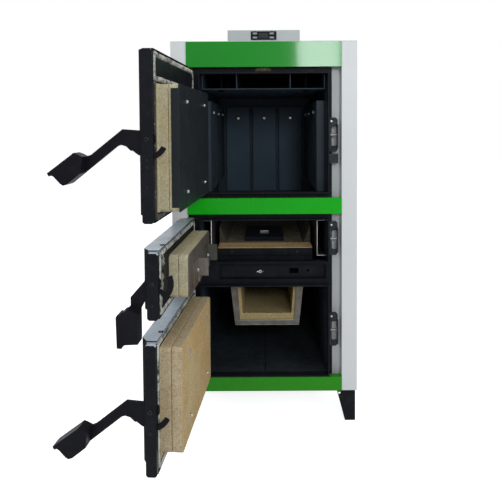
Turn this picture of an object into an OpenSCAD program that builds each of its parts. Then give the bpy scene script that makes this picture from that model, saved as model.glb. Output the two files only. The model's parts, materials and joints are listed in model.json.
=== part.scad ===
// Solid fuel boiler with a loading door, a cleaning door and a lower chamber door, all standing open

/* [Casing] */
// Width of the casing
casing_w = 600; // [560:5:700]
// Depth of the casing from front to back
casing_d = 950; // [930:5:1100]
// Clear height under the casing
leg_h = 103; // [80:1:140]
// Width of each upright flange at the front of the casing
casing_flange_w = 50; // [40:1:60]
// Thickness of the casing sheet
casing_sheet = 1.5; // [1:0.1:2]

/* [Front] */
// Height from the casing's bottom edge to the lower opening
sill_h = 51; // [48:1:60]
// Height of the lower opening
lower_open_h = 294; // [270:1:320]
// Height of the band that holds the air panel
air_band_h = 81; // [78:1:110]
// Height of the middle opening
mid_open_h = 136; // [125:1:160]
// Height of the band between the middle and the upper opening
shelf_band_h = 91; // [85:1:110]
// Height of the upper opening
upper_open_h = 384; // [360:1:420]
// Height from the upper opening to the casing's top
head_h = 104; // [98:1:130]
// Width from the casing's side to the openings
side_w = 93; // [90:1:98]
// Setback of the front plate behind the casing's front
front_set = 20; // [18:1:22]
// Thickness of the front plate
front_plate = 6; // [5:0.5:8]
// Height of the bottom strip
bottom_strip_h = 46; // [36:1:48]
// Height of the middle strip
middle_strip_h = 52; // [40:1:56]
// Height of the top strip
top_strip_h = 81; // [70:1:84]
// How far the strips stand in front of the casing
strip_proud = 2.8; // [2:0.1:3]

/* [Doors] */
// Height that a door laps over its opening
door_lap = 11; // [9:0.5:12]
// Thickness of a door's steel pan
door_t = 26.7; // [24:0.1:30]
// How far a door's outer cover stands out from its pan
cover_t = 17; // [12:0.5:20]
// Angle at which the upper door stands open
upper_open_deg = 94; // [60:1:100]
// Angle at which the middle door stands open
middle_open_deg = 93; // [60:1:100]
// Angle at which the lower door stands open
lower_open_deg = 94; // [60:1:100]
// Thickness of one insulating board
board_t = 25; // [20:1:26]
// Diameter of the seal rope
rope_d = 15; // [12:0.5:16]

/* [Levers] */
// Length of a door lever from its pivot to its tip
lever_len = 240; // [200:5:260]
// Thickness of a lever's plate
lever_t = 6; // [5:0.5:6.5]
// Angle of the two raised levers above hanging
raised_deg = 51; // [30:1:60]
// Radius of a hinge pin
hinge_pin_r = 4; // [3:0.1:4.5]

/* [Chamber] */
// Depth of the loading chamber behind the front plate
chamber_d = 605; // [560:5:640]
// Length of the flame channel
flame_len = 500; // [400:5:540]
// Width of the flame channel at its bottom
flame_w = 209; // [180:1:230]
// Radius of the flue outlet
flue_r = 79.5; // [65:0.5:90]
// Radius of the heating water sockets' bores
socket_r = 19; // [14:0.5:22]

/* [Hidden] */
$fn = 48;

// Clearances and the overrun that every cut uses
seat = 0.3;
over = 1;
fit = 0.05;

// Places across the width, from the casing's middle
open_w = casing_w - 2 * side_w;
open_shift = -2;
open_l = open_shift - open_w / 2;
open_r = open_shift + open_w / 2;
shell_side = [38, 16];
shell_l = open_l - shell_side[0];
shell_r = open_r + shell_side[1];
flange_back = 40;

// Places up the height
low_z = leg_h + sill_h;
low_top = low_z + lower_open_h;
mid_z = low_top + air_band_h;
mid_top = mid_z + mid_open_h;
up_z = mid_top + shelf_band_h;
up_top = up_z + upper_open_h;
casing_top_z = up_top + head_h;
strip_lift = 21;
middle_strip_z = mid_top + strip_lift;

// Places along the depth; the casing's front is at front
front = -casing_d / 2;
plate_y = front + front_set;
chamber_y = plate_y + front_plate;
back_y = chamber_y + chamber_d;
rear_y = front + casing_d;
shell_back = 60;
shell_back_y = rear_y - shell_back;

// The raised rim round each opening, and the hinge line
rim_t = 4;
hinge_side = 21;
latch_side = 25;
hinge_out = 12;
face_n = 6.8;
hinge_x = open_l - hinge_side;
hinge_y = front - hinge_out;
rope_proud = 2;
rim_y = hinge_y + face_n + rope_proud + seat;
door_w = hinge_side + open_w + latch_side;
door_start = 8;
pivot_n = -14;
lever_in = 11.5;
lever_t0 = door_w - lever_in;

// A box between two corners
module span(a, b) {
  translate(a) cube(b - a);
}

// A cylinder from a point along +X, +Y or +Z
module rod(p, r, l, dir = [0, 0, 1]) {
  translate(p) rotate(dir.x > 0 ? [0, 90, 0] : dir.y > 0 ? [-90, 0, 0] : [0, 0, 0])
    cylinder(r = r, h = l);
}

// A hexagon head standing forward from a point on a wall that faces the front
bolt_r = 4.2;
bolt_head = 4;
module front_bolt(p) {
  translate([p.x, p.y - seat, p.z]) rotate([90, 0, 0]) cylinder(r = bolt_r, h = bolt_head, $fn = 6);
}

// Legs: folded angle legs with a tapered front flange and a drilled foot
leg_w = 60;
leg_foot_w = 34;
leg_sheet = 4;
leg_side_d = 55;
leg_inset = 5;
leg_hole_r = 4;
foot_hole_r = 6;
foot_in = 17;
leg_drop = 12;
foot_x = casing_w / 2 - leg_inset - foot_in;
foot_y = casing_d / 2 - leg_inset - foot_in;
module leg() {
  outer = casing_w / 2 - leg_inset;
  y0 = front + leg_inset;
  difference() {
    union() {
      translate([outer, y0 + leg_sheet, 0]) rotate([90, 0, 0]) linear_extrude(leg_sheet)
        polygon([[0, 0], [-leg_foot_w, 0], [-leg_w, leg_h - leg_sheet], [0, leg_h - leg_sheet]]);
      translate([outer - leg_sheet, y0, 0]) rotate([90, 0, 90]) linear_extrude(leg_sheet)
        polygon([[0, 0], [leg_foot_w, 0], [leg_side_d, leg_h - leg_sheet], [0, leg_h - leg_sheet]]);
      span([outer - leg_foot_w, y0, 0], [outer, y0 + leg_foot_w, leg_sheet]);
      span([outer - leg_w, y0, leg_h - leg_sheet - seat], [outer, y0 + leg_side_d, leg_h - seat]);
    }
    rod([outer - leg_w + leg_hole_r * 2, y0 - over, leg_h - leg_drop], leg_hole_r,
      leg_sheet + 2 * over, [0, 1, 0]);
    rod([foot_x, -foot_y, -over], foot_hole_r, leg_sheet + 2 * over);
  }
}
module legs() {
  color("#161719") for (sx = [0, 1], sy = [0, 1]) mirror([sx, 0, 0]) mirror([0, sy, 0]) leg();
}

// Outer shell: five plates of the water jacket's outside
shell_t = 4;
shell_top_up = 62;
shell_top_z = up_top + shell_top_up;
shell_low_up = 14;
shell_low_z = leg_h + shell_low_up;
module outer_shell() {
  color("#2a2c2e") difference() {
    shell_plates();
    keeper_slots();
    for (p = sockets) rod([p.x, shell_back_y - shell_t - over, p.y], socket_r, shell_t + 2 * over,
      [0, 1, 0]);
    smoke_port(shell_back_y - shell_t, shell_t);
  }
}
module shell_plates() {
  span([shell_l, plate_y + front_plate + seat, shell_low_z],
    [shell_l + shell_t, shell_back_y, shell_top_z]);
  span([shell_r - shell_t, plate_y + front_plate + seat, shell_low_z],
    [shell_r, shell_back_y, shell_top_z]);
  span([shell_l + shell_t + seat, shell_back_y - shell_t, shell_low_z],
    [shell_r - shell_t - seat, shell_back_y, shell_top_z - shell_t - seat]);
  span([shell_l + shell_t + seat, plate_y + front_plate + seat, shell_top_z - shell_t],
    [shell_r - shell_t - seat, shell_back_y, shell_top_z]);
  span([shell_l + shell_t + seat, plate_y + front_plate + seat, shell_low_z],
    [shell_r - shell_t - seat, shell_back_y - shell_t - seat, shell_low_z + shell_t]);
}

// Inner shell: side walls, roof, back wall and the shelf that carries the refractory floor
wall_t = 4;
wall_l = open_l - wall_t;
wall_r = open_r;
roof_up = 12;
floor_down = 12;
bed_up = 11;
roof_z = up_top + roof_up;
floor_z = low_z - floor_down;
bed_z = low_top + bed_up;
module inner_shell() {
  y0 = chamber_y + seat;
  color("#1c1e20") {
    span([wall_l, y0, floor_z], [wall_l + wall_t, back_y, roof_z]);
    span([wall_r, y0, floor_z], [wall_r + wall_t, back_y, roof_z]);
    span([wall_l, y0, roof_z + seat], [wall_r + wall_t, shell_back_y - shell_t - seat,
      roof_z + seat + wall_t]);
    span([wall_l, back_y + seat, bed_z + wall_t + seat],
      [wall_r + wall_t, back_y + seat + wall_t, roof_z]);
    difference() {
      span([wall_l + wall_t + seat, y0, bed_z], [wall_r - seat, back_y - seat, bed_z + wall_t]);
      span([open_shift - port_w / 2, y0 + port_in, bed_z - over],
        [open_shift + port_w / 2, y0 + port_in + port_d, bed_z + wall_t + over]);
    }
    span([wall_l, y0, floor_z - seat - wall_t],
      [wall_r + wall_t, shell_back_y - shell_t - seat, floor_z - seat]);
  }
}

// Front frame: the plate with three openings, each with a raised rim, and the recess for the air panel
panel_side = [57, 2];
panel_in = [17, 13];
panel_l = open_l + panel_side[0];
panel_r = open_r - panel_side[1];
panel_low = low_top + panel_in[0];
panel_top = mid_z - panel_in[1];
module opening(z0, z1, grow = 0) {
  span([open_l - grow, plate_y - over, z0 - grow], [open_r + grow, chamber_y + over, z1 + grow]);
}
module rim(z0, z1) {
  difference() {
    span([open_l - rim_t, rim_y, z0 - rim_t], [open_r + rim_t, plate_y + seat, z1 + rim_t]);
    span([open_l, rim_y - over, z0], [open_r, chamber_y + over, z1]);
  }
}
module front_frame() {
  color("#1b1d1f") {
    difference() {
      span([shell_l, plate_y, leg_h + strip_in], [shell_r, chamber_y, casing_top_z - strip_in]);
      opening(low_z, low_top);
      opening(mid_z, mid_top);
      opening(up_z, up_top);
      span([panel_l - seat, plate_y - over, panel_low - seat],
        [panel_r + seat, chamber_y + over, panel_top + seat]);
      keeper_slots();
    }
    rim(low_z, low_top);
    rim(mid_z, mid_top);
    rim(up_z, up_top);
  }
}

// Casing: two side shells folded in at the front, a top and a rear panel
strip_in = 16;
module casing_side() {
  x0 = casing_w / 2;
  y1 = rear_y - casing_sheet - seat;
  z1 = casing_top_z - casing_sheet - seat;
  span([x0 - casing_sheet, front, leg_h], [x0, y1, z1]);
  span([x0 - casing_flange_w, front, leg_h], [x0, front + casing_sheet, z1]);
  span([x0 - casing_flange_w, front, leg_h],
    [x0 - casing_flange_w + casing_sheet, front + flange_back, z1]);
  span([shell_r + seat + flange_gap, front + flange_back, leg_h],
    [x0 - casing_flange_w + casing_sheet, front + flange_back + casing_sheet, z1]);
  span([x0 - casing_flange_w, front, leg_h], [x0, y1, leg_h + casing_sheet]);
  span([x0 - base_lip, plate_y, leg_h], [x0, y1, leg_h + casing_sheet]);
}
flange_gap = 1;
base_lip = 62;
module casing_right() { color("#c9cccf") casing_side(); }
module casing_left() { color("#c9cccf") mirror([1, 0, 0]) difference() {
    casing_side();
    span([shell_r - over, front + flange_back - over, leg_h + casing_sheet + over],
      [-shell_l + seat, front + flange_back + casing_sheet + over, casing_top_z]);
  }
}
module casing_top() {
  color("#c9cccf") {
    span([-casing_w / 2, front, casing_top_z - casing_sheet], [casing_w / 2, rear_y, casing_top_z]);
  }
}
module rear_panel() {
  color("#c9cccf") difference() {
    span([-casing_w / 2, rear_y - casing_sheet, leg_h],
      [casing_w / 2, rear_y, casing_top_z - casing_sheet - seat]);
    span([flue_box_x - flue_box_w / 2 - seat, rear_y - casing_sheet - over, flue_box_z - seat],
      [flue_box_x + flue_box_w / 2 + seat, rear_y + over, flue_box_z + flue_box_h + seat]);
    for (p = sockets) rod([p.x, rear_y - casing_sheet - over, p.y], socket_r + socket_wall + seat,
      casing_sheet + 2 * over, [0, 1, 0]);
  }
}

// Strips: folded channels across the front, with a flange along the top and the bottom edge
strip_t = 1.5;
module strip(z0, h) {
  x1 = casing_w / 2 - casing_flange_w;
  y0 = front - strip_proud;
  color("#23a02c") {
    span([-x1, y0, z0], [x1, y0 + strip_t, z0 + h]);
    span([-x1 + seat, y0, z0], [x1 - seat, plate_y - seat, z0 + strip_t]);
    span([-x1 + seat, y0, z0 + h - strip_t], [x1 - seat, plate_y - seat, z0 + h]);
  }
}
module bottom_strip() { strip(leg_h, bottom_strip_h); }
module middle_strip() { strip(middle_strip_z, middle_strip_h); }
module top_strip() { strip(casing_top_z - casing_sheet - seat - top_strip_h, top_strip_h); }

// Insulation: mineral wool between the shell and the casing, with a tuft under the top strip
wool_gap = 0.3;
tuft_x = -3;
tuft_w = 54;
tuft_h = 14;
module insulation() {
  y0 = chamber_y + flange_back;
  y1 = rear_y - casing_sheet - wool_gap;
  z0 = leg_h + casing_sheet + wool_gap;
  z1 = casing_top_z - casing_sheet - wool_gap;
  color("#a9ab93") {
    span([-casing_w / 2 + casing_sheet + wool_gap, y0, z0], [shell_l - wool_gap, y1, z1]);
    span([shell_r + wool_gap, y0, z0], [casing_w / 2 - casing_sheet - wool_gap, y1, z1]);
    span([shell_l, y0, shell_top_z + wool_gap], [shell_r, shell_back_y, z1]);
    translate([tuft_x, plate_y - tuft_h / 2 - seat,
      casing_top_z - casing_sheet - 2 * seat - top_strip_h - tuft_h / 2])
      scale([tuft_w / tuft_h, tuft_deep_share, 1]) sphere(d = tuft_h, $fn = 24);
  }
}
tuft_deep_share = 0.98;

// Control box on the top, with a display and four oval buttons on its front
box_w = 232;
box_d = 150;
box_h = 35;
box_sheet = 2;
box_in = 4;
box_y = front + box_in;
display_w = 82;
display_h = 27;
display_t = 2;
button_x = 27;
button_up = 6.5;
button_w = 15;
button_h = 6;
button_l = 5;
button_shift = -1;
display_z = casing_top_z + box_h / 2;
function button_place(i) = [(i % 2 == 0 ? -1 : 1) * button_x + button_shift,
  display_z + (i < 2 ? 1 : -1) * button_up];
module oval(w, h) {
  hull() for (s = [-1, 1]) translate([s * (w - h) / 2, 0]) circle(d = h, $fn = 32);
}
module control_box() {
  z0 = casing_top_z + seat;
  color("#b9bcc0") difference() {
    span([-box_w / 2, box_y, z0], [box_w / 2, box_y + box_d, z0 + box_h]);
    span([-box_w / 2 + box_sheet, box_y + box_sheet, z0 - over],
      [box_w / 2 - box_sheet, box_y + box_d - box_sheet, z0 + box_h - box_sheet]);
    span([-display_w / 2 + box_sheet, box_y - over, display_z - display_h / 2 + box_sheet],
      [display_w / 2 - box_sheet, box_y + box_sheet + over, display_z + display_h / 2 - box_sheet]);
  }
}
module display() {
  color("#0d0e10") difference() {
    span([-display_w / 2, box_y - seat - display_t, display_z - display_h / 2],
      [display_w / 2, box_y - seat, display_z + display_h / 2]);
    for (i = [0:3]) translate([button_place(i).x, box_y, button_place(i).y]) rotate([90, 0, 0])
      translate([0, 0, -over]) linear_extrude(display_t + 2 * over + seat)
        oval(button_w + 2 * seat, button_h + 2 * seat);
  }
}
module button(i) {
  color("#b7bdc2") translate([button_place(i).x, box_y + button_l - display_t * 2, button_place(i).y])
    rotate([90, 0, 0]) linear_extrude(button_l) oval(button_w, button_h);
}
module button_1() { button(0); }
module button_2() { button(1); }
module button_3() { button(2); }
module button_4() { button(3); }

// Smoke channel: a folded trough under the roof, with two webs and two studs
duct_side = 5;
duct_short = 45;
duct_w = open_w - 2 * duct_side;
duct_h = 60;
duct_t = 3;
duct_in = 10;
duct_l = chamber_d - duct_short;
web_in = 119;
stud_side = 65;
web_x = open_w / 2 - web_in;
stud_x = open_w / 2 - stud_side;
stud_r = 4;
duct_z = roof_z - seat - duct_h;
module smoke_channel() {
  y0 = front + front_set + duct_in;
  color("#34373b") difference() {
    span([open_shift - duct_w / 2, y0, duct_z], [open_shift + duct_w / 2, y0 + duct_l, roof_z - seat]);
    span([open_shift - duct_w / 2 + duct_t, y0 - over, duct_z + duct_t],
      [open_shift - web_x - duct_t / 2, y0 + duct_l + over, roof_z + over]);
    span([open_shift - web_x + duct_t / 2, y0 - over, duct_z + duct_t],
      [open_shift + web_x - duct_t / 2, y0 + duct_l + over, roof_z + over]);
    span([open_shift + web_x + duct_t / 2, y0 - over, duct_z + duct_t],
      [open_shift + duct_w / 2 - duct_t, y0 + duct_l + over, roof_z + over]);
    for (s = [-1, 1]) rod([open_shift + s * stud_x, y0 + stud_in, duct_z - over], stud_r + fit,
      duct_t + 2 * over);
  }
}
stud_in = 45;

// Liner plates: three down each side and three across the back, each hung on one bolt
liner_t = 5;
liner_gap = 6;
liner_short = 60;
liner_in = 75;
liner_below = 6;
liner_down = 84;
liner_side = 29;
liner_l = chamber_d - liner_short;
liner_y = front + liner_in;
liner_low = up_z - liner_below;
liner_top = up_top - liner_down;
liner_x = open_w / 2 - liner_side;
liner_lip = 28;
back_liner_side = 111;
back_gap = 14.5;
back_liner_in = 16;
back_liner_up = 20;
back_liner_w = (open_w - back_liner_side) / 3;
back_liner_y = back_y - back_liner_in;
back_liner_low = mid_top + back_liner_up;
liner_bolt_down = 36;
liner_w = (liner_l - 2 * liner_gap) / 3;
module side_liner(i, s) {
  x = open_shift + s * liner_x;
  y = liner_y + i * (liner_w + liner_gap);
  span([min(x, x + s * liner_t), y, liner_low], [max(x, x + s * liner_t), y + liner_w, liner_top]);
  if (i == 0) {
    span([min(x, x + s * liner_lip), y, liner_low],
      [max(x, x + s * liner_lip), y + liner_t, liner_top]);
  }
}
module liner_plates() {
  color("#2a3136") {
    for (s = [-1, 1], i = [0:2]) side_liner(i, s);
    for (i = [-1:1]) {
      x = open_shift + i * (back_liner_w + back_gap);
      span([x - back_liner_w / 2, back_liner_y, back_liner_low],
        [x + back_liner_w / 2, back_liner_y + liner_t, liner_top]);
    }
  }
}

// Bolts of the body: liners, smoke channel studs, keepers and sill plate
sill_bolt_in = 97;
sill_bolt_x = open_w / 2 - sill_bolt_in;
module side_bolt(x, y, s) {
  translate([x, y, liner_top - liner_bolt_down]) rotate([0, s * -90, 0]) {
    translate([0, 0, seat]) cylinder(r = bolt_r, h = bolt_head, $fn = 6);
  }
}
spacer_r = 7;
module body_bolts() {
  color("#c4c8cb") {
    for (s = [-1, 1], i = [0:2]) {
      y = liner_y + i * (liner_w + liner_gap) + liner_w / 2;
      side_bolt(open_shift + s * liner_x, y, s);
      x0 = s > 0 ? open_shift + liner_x + liner_t + seat : wall_l + wall_t + seat;
      x1 = s > 0 ? wall_r - seat : open_shift - liner_x - liner_t - seat;
      rod([x0, y, liner_top - liner_bolt_down], spacer_r, x1 - x0, [1, 0, 0]);
    }
    for (i = [-1:1]) {
      x = open_shift + i * (back_liner_w + back_gap);
      front_bolt([x, back_liner_y, liner_top - liner_bolt_down - bolt_r * 3]);
      rod([x, back_liner_y + liner_t + seat, liner_top - liner_bolt_down - bolt_r * 3], spacer_r,
        back_y - back_liner_y - liner_t - seat, [0, 1, 0]);
    }
    for (s = [-1, 1]) {
      p = [open_shift + s * stud_x, front + front_set + duct_in + stud_in];
      rod([p.x, p.y, duct_z - bolt_head - seat], stud_r, roof_z - 2 * seat - duct_z + bolt_head);
      translate([p.x, p.y, duct_z - bolt_head - seat]) cylinder(r = stud_r * 2, h = bolt_head, $fn = 6);
    }
    for (z = keeper_zs, s = [-1, 1])
      front_bolt([keeper_l + keeper_ear + bolt_r + seat, plate_y - keeper_t - seat,
        z + s * keeper_bolt_up]);
    for (s = [-1, 1]) front_bolt([open_shift + s * sill_bolt_x, sill_y,
      sill_plate_top - sill_bolt_down]);
  }
}
sill_bolt_down = 14;

// Refractory floor of the loading chamber, with the slot that the nozzle sits over
fire_up = 33;
bed_side = [49, 45];
bed_in = 66;
bed_short = 2;
fire_z = mid_z + fire_up;
bed_l = open_l + bed_side[0];
bed_r = open_r - bed_side[1];
bed_y0 = front + bed_in;
bed_y1 = back_y - bed_short;
port_w = 60;
port_d = 190;
port_in = 130;
board_d = 72;
slot_w = 34;
sill_t = 5;
sill_in = 58;
sill_down = 2;
sill_y = front + sill_in;
sill_plate_top = fire_z - sill_down;
module refractory_floor() {
  y0 = bed_y0 + board_d + seat;
  color("#7f735c") difference() {
    union() {
      span([bed_l, bed_y0, bed_z + wall_t + seat], [bed_r, bed_y1, fire_z - board_h - seat]);
      span([bed_l, y0, fire_z - board_h - 2 * seat], [bed_r, bed_y1, fire_z]);
      for (s = [0, 1]) translate([s == 0 ? bed_l : bed_r, bed_y1, fire_z - over]) rotate([90, 0, 0])
        linear_extrude(bed_y1 - y0) polygon([[0, 0], [(s == 0 ? 1 : -1) * bank_w, over], [0, bank_h]]);
    }
    span([open_shift - slot_w / 2, chamber_y + seat + port_in + slot_in, bed_z],
      [open_shift + slot_w / 2, chamber_y + seat + port_in + slot_in + slot_d, fire_z + over]);
  }
}
board_h = 30;
bank_w = 26;
bank_h = 60;
slot_in = 20;
slot_d = 150;
module sill_board() {
  color("#b08a55") span([bed_l + seat, bed_y0, fire_z - board_h],
    [bed_r - seat, bed_y0 + board_d, fire_z]);
}

// Nozzle: a cast plate with a square throat
nozzle_w = open_w / 3;
nozzle_d = 210;
nozzle_t = 14;
throat_w = 34;
throat_d = 60;
nozzle_in = 22;
nozzle_y = bed_y0 + board_d + nozzle_in;
module nozzle() {
  color("#1e2327") difference() {
    span([open_shift - nozzle_w / 2, nozzle_y, fire_z + seat],
      [open_shift + nozzle_w / 2, nozzle_y + nozzle_d, fire_z + nozzle_t]);
    span([open_shift - throat_w / 2, nozzle_y + throat_in, fire_z - over],
      [open_shift + throat_w / 2, nozzle_y + throat_in + throat_d, fire_z + nozzle_t + over]);
  }
}
throat_in = 60;

// Sill plate: a folded steel plate that closes the front of the refractory floor
sill_rib = 5;
module sill_plate() {
  z0 = mid_z - rim_t - sill_drop;
  color("#1a1c1f") {
    span([bed_l, sill_y, z0], [bed_r, sill_y + sill_t, sill_plate_top]);
    span([bed_l, sill_y - sill_rib, (z0 + sill_plate_top) / 2 - sill_rib / 2],
      [bed_r, sill_y + sill_t, (z0 + sill_plate_top) / 2 + sill_rib / 2]);
    span([bed_l, chamber_y + seat, z0], [bed_r, sill_y + sill_t, z0 + sill_t]);
  }
}
sill_drop = 6;

// Air channels: a bent channel along each side, open towards the wall
duct_lip = 34;
air_t = 4;
air_in = 66;
air_short = 45;
air_less = 12;
air_y = front + air_in;
air_l = chamber_d - air_short;
air_h = mid_open_h - air_less;
module air_channel(s) {
  x = open_shift + s * (liner_x - 3 * seat);
  z0 = mid_z + air_lift;
  lip = s > 0 ? wall_r - seat - x : x - wall_l - wall_t - seat;
  span([min(x, x + s * air_t), air_y, z0], [max(x, x + s * air_t), air_y + air_l, z0 + air_h]);
  span([min(x, x + s * lip), air_y, z0], [max(x, x + s * lip), air_y + air_l, z0 + air_t]);
  span([min(x, x + s * lip), air_y, z0 + air_h - air_t],
    [max(x, x + s * lip), air_y + air_l, z0 + air_h]);
}
air_lift = 2;
module air_channels() {
  color("#8d9294") for (s = [-1, 1]) air_channel(s);
}

// Air panel: a shallow box let into the front plate, with a cover that a wing nut holds
panel_d = 18;
panel_t = 2.5;
window_w = 30;
window_h = 17;
window_side = 109;
hole_side = 62;
wing_side = 14;
window_x = open_r - window_side;
hole_x = open_r - hole_side;
hole_r = 4;
wing_x = open_shift - wing_side;
wing_r = 2.5;
panel_mid = (panel_low + panel_top) / 2;
module air_panel() {
  y1 = plate_y + panel_d;
  color("#17191b") {
    difference() {
      span([panel_l, plate_y - seat, panel_low], [panel_r, y1, panel_top]);
      span([panel_l + panel_t, plate_y - seat - over, panel_low + panel_t],
        [panel_r - panel_t, y1 - panel_t, panel_top - panel_t]);
      span([window_x - window_w / 2, y1 - panel_t - over, panel_mid - window_h / 2],
        [window_x + window_w / 2, y1 + over, panel_mid + window_h / 2]);
      rod([hole_x, y1 - panel_t - over, panel_mid], hole_r, panel_t + 2 * over, [0, 1, 0]);
    }
    difference() {
      span([panel_l + panel_t + cover_in, y1 - panel_t - cover_gap - panel_t,
        panel_low + panel_t + cover_in],
        [window_x - window_w / 2 - cover_in, y1 - panel_t - cover_gap, panel_top - panel_t - cover_in]);
      rod([wing_x, plate_y, panel_mid], wing_r + fit, panel_d, [0, 1, 0]);
    }
    rod([wing_x, y1 - panel_t - wing_stud, panel_mid], wing_r, wing_stud + seat, [0, 1, 0]);
  }
}
cover_gap = 0.3;
cover_in = 4;
wing_stud = 12;
wing_span = 26;
wing_hub_r = 5;
wing_hub_h = 6;
wing_t = 2.4;
wing_rise = 9;
module wing_nut() {
  y = plate_y + panel_d - 2 * panel_t - cover_gap - seat;
  color("#c9cdd0") translate([wing_x, y, panel_mid]) rotate([90, 0, 0]) difference() {
    union() {
      cylinder(r = wing_hub_r, h = wing_hub_h);
      rotate([90, 0, 0]) translate([0, 0, -wing_t / 2]) linear_extrude(wing_t)
        for (s = [-1, 1]) polygon([[0, 0], [s * wing_hub_r, 0], [s * wing_span / 2, wing_hub_h],
          [s * wing_span / 2 - s * wing_t, wing_rise], [s * wing_hub_r, wing_hub_h]]);
    }
    translate([0, 0, -over]) cylinder(r = wing_r + fit, h = wing_rise + 2 * over);
  }
}

// Flame channel: a trough of insulating board in the lower chamber, edged with steel
flame_side = 8;
flame_in = 62;
flame_up = 147;
flame_flare = 35;
flame_x = open_shift + flame_side;
flame_y = front + flame_in;
flame_z = low_z + flame_up;
flame_wall = 22;
flame_floor = 35;
flame_top_w = flame_w + flame_flare;
flame_top_z = bed_z - seat;
flame_edge = 13;
flame_top_more = 8;
flame_edge_t = 4;
module trough(inset, z_in, more) {
  h = flame_top_z - flame_z;
  polygon([[-flame_w / 2 + inset, z_in], [flame_w / 2 - inset, z_in],
    [flame_top_w / 2 - inset - more, h], [-flame_top_w / 2 + inset + more, h]]);
}
module flame_channel() {
  color("#9b8a66") translate([flame_x, flame_y + flame_edge_t + seat + flame_len, flame_z])
    rotate([90, 0, 0])
    linear_extrude(flame_len) difference() {
      trough(0, 0, 0);
      translate([0, over]) trough(flame_wall, flame_floor, flame_top_more);
    }
}
module flame_frame() {
  color("#7d8388") translate([flame_x, flame_y + flame_edge_t, flame_z]) rotate([90, 0, 0])
    linear_extrude(flame_edge_t) difference() {
      translate([0, -edge_lap]) trough(-edge_lap, 0, 0);
      translate([0, over]) trough(flame_edge, flame_edge, flame_top_more);
    }
}
edge_lap = 4;

// Floor plates: two plates side by side on the lower chamber's floor
floor_t = 6;
floor_gap = 2;
module floor_plates() {
  y0 = chamber_y + seat * 2;
  color("#202426") {
    span([wall_l + wall_t + seat, y0, floor_z],
      [open_shift - floor_gap / 2, back_y - seat, floor_z + floor_t]);
    span([open_shift + floor_gap / 2, y0, floor_z], [wall_r - seat, back_y - seat, floor_z + floor_t]);
  }
}

// Keepers: a bent bracket for each door, with a window and a cross pin that the lever's hook takes
keeper_in = 1;
keeper_w = 29;
keeper_l = open_r + rim_t + keeper_in;
keeper_r = keeper_l + keeper_w;
keeper_h = 112;
keeper_t = 4;
keeper_ear = 4;
keeper_ear_d = 22;
keeper_bolt_up = 44;
window_up = 26;
window_down = 36;
pin_r = 4.5;
pin_reach = 30;
pin_y = hinge_y + face_n + pivot_n + pin_reach;
keeper_lifts = [-0.5, 6, -6];
keeper_zs = [(low_z + low_top) / 2 + keeper_lifts[0], (mid_z + mid_top) / 2 + keeper_lifts[1],
  (up_z + up_top) / 2 + keeper_lifts[2]];
module keeper(z) {
  y0 = plate_y - seat - keeper_t;
  difference() {
    union() {
      translate([(keeper_l + keeper_r) / 2, y0 + keeper_t, z]) rotate([90, 0, 0])
        linear_extrude(keeper_t)
        chamfered(keeper_r - keeper_l, keeper_h, keeper_ear * 1.5);
      for (x = [keeper_l, keeper_r - keeper_ear])
        span([x, y0 - keeper_ear_d + keeper_t, z - window_down - keeper_ear * 2],
          [x + keeper_ear, y0 + keeper_t, z + window_up + keeper_ear * 2]);
    }
    span([keeper_l + keeper_ear, y0 - over, z - window_down],
      [keeper_r - keeper_ear, plate_y + over, z + window_up]);
    rod([keeper_l - over, pin_y, z], pin_r + fit, keeper_r - keeper_l + 2 * over, [1, 0, 0]);
  }
}
module chamfered(w, h, c) {
  polygon([[-w / 2 + c, -h / 2], [w / 2 - c, -h / 2], [w / 2, -h / 2 + c], [w / 2, h / 2 - c],
    [w / 2 - c, h / 2], [-w / 2 + c, h / 2], [-w / 2, h / 2 - c], [-w / 2, -h / 2 + c]]);
}
module keeper_slots() {
  for (z = keeper_zs)
    span([keeper_l + keeper_ear, plate_y - over, z - window_down],
      [keeper_r, plate_y + slot_deep, z + window_up]);
}
slot_deep = 14;
module keepers() { color("#3a4045") for (z = keeper_zs) keeper(z); }
module keeper_pins() {
  color("#a7a29a") for (z = keeper_zs) rod([keeper_l, pin_y, z], pin_r, keeper_r - keeper_l, [1, 0, 0]);
}

// Door switch: a small block under the upper keeper, held by one screw
switch_h = 30;
switch_d = 18;
switch_gap = 6;
module door_switch() {
  z1 = keeper_zs[2] - keeper_h / 2 - switch_gap;
  x = keeper_l + (keeper_r - keeper_l) * screw_share;
  color("#2e3337") {
    span([keeper_l, plate_y - seat - switch_d, z1 - switch_h], [keeper_r, plate_y - seat, z1]);
    translate([x, plate_y - switch_d, z1 - switch_h / 2]) rotate([90, 0, 0])
      cylinder(r = bolt_r * 1.4, h = bolt_head / 2);
  }
}
screw_share = 0.7;

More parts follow.
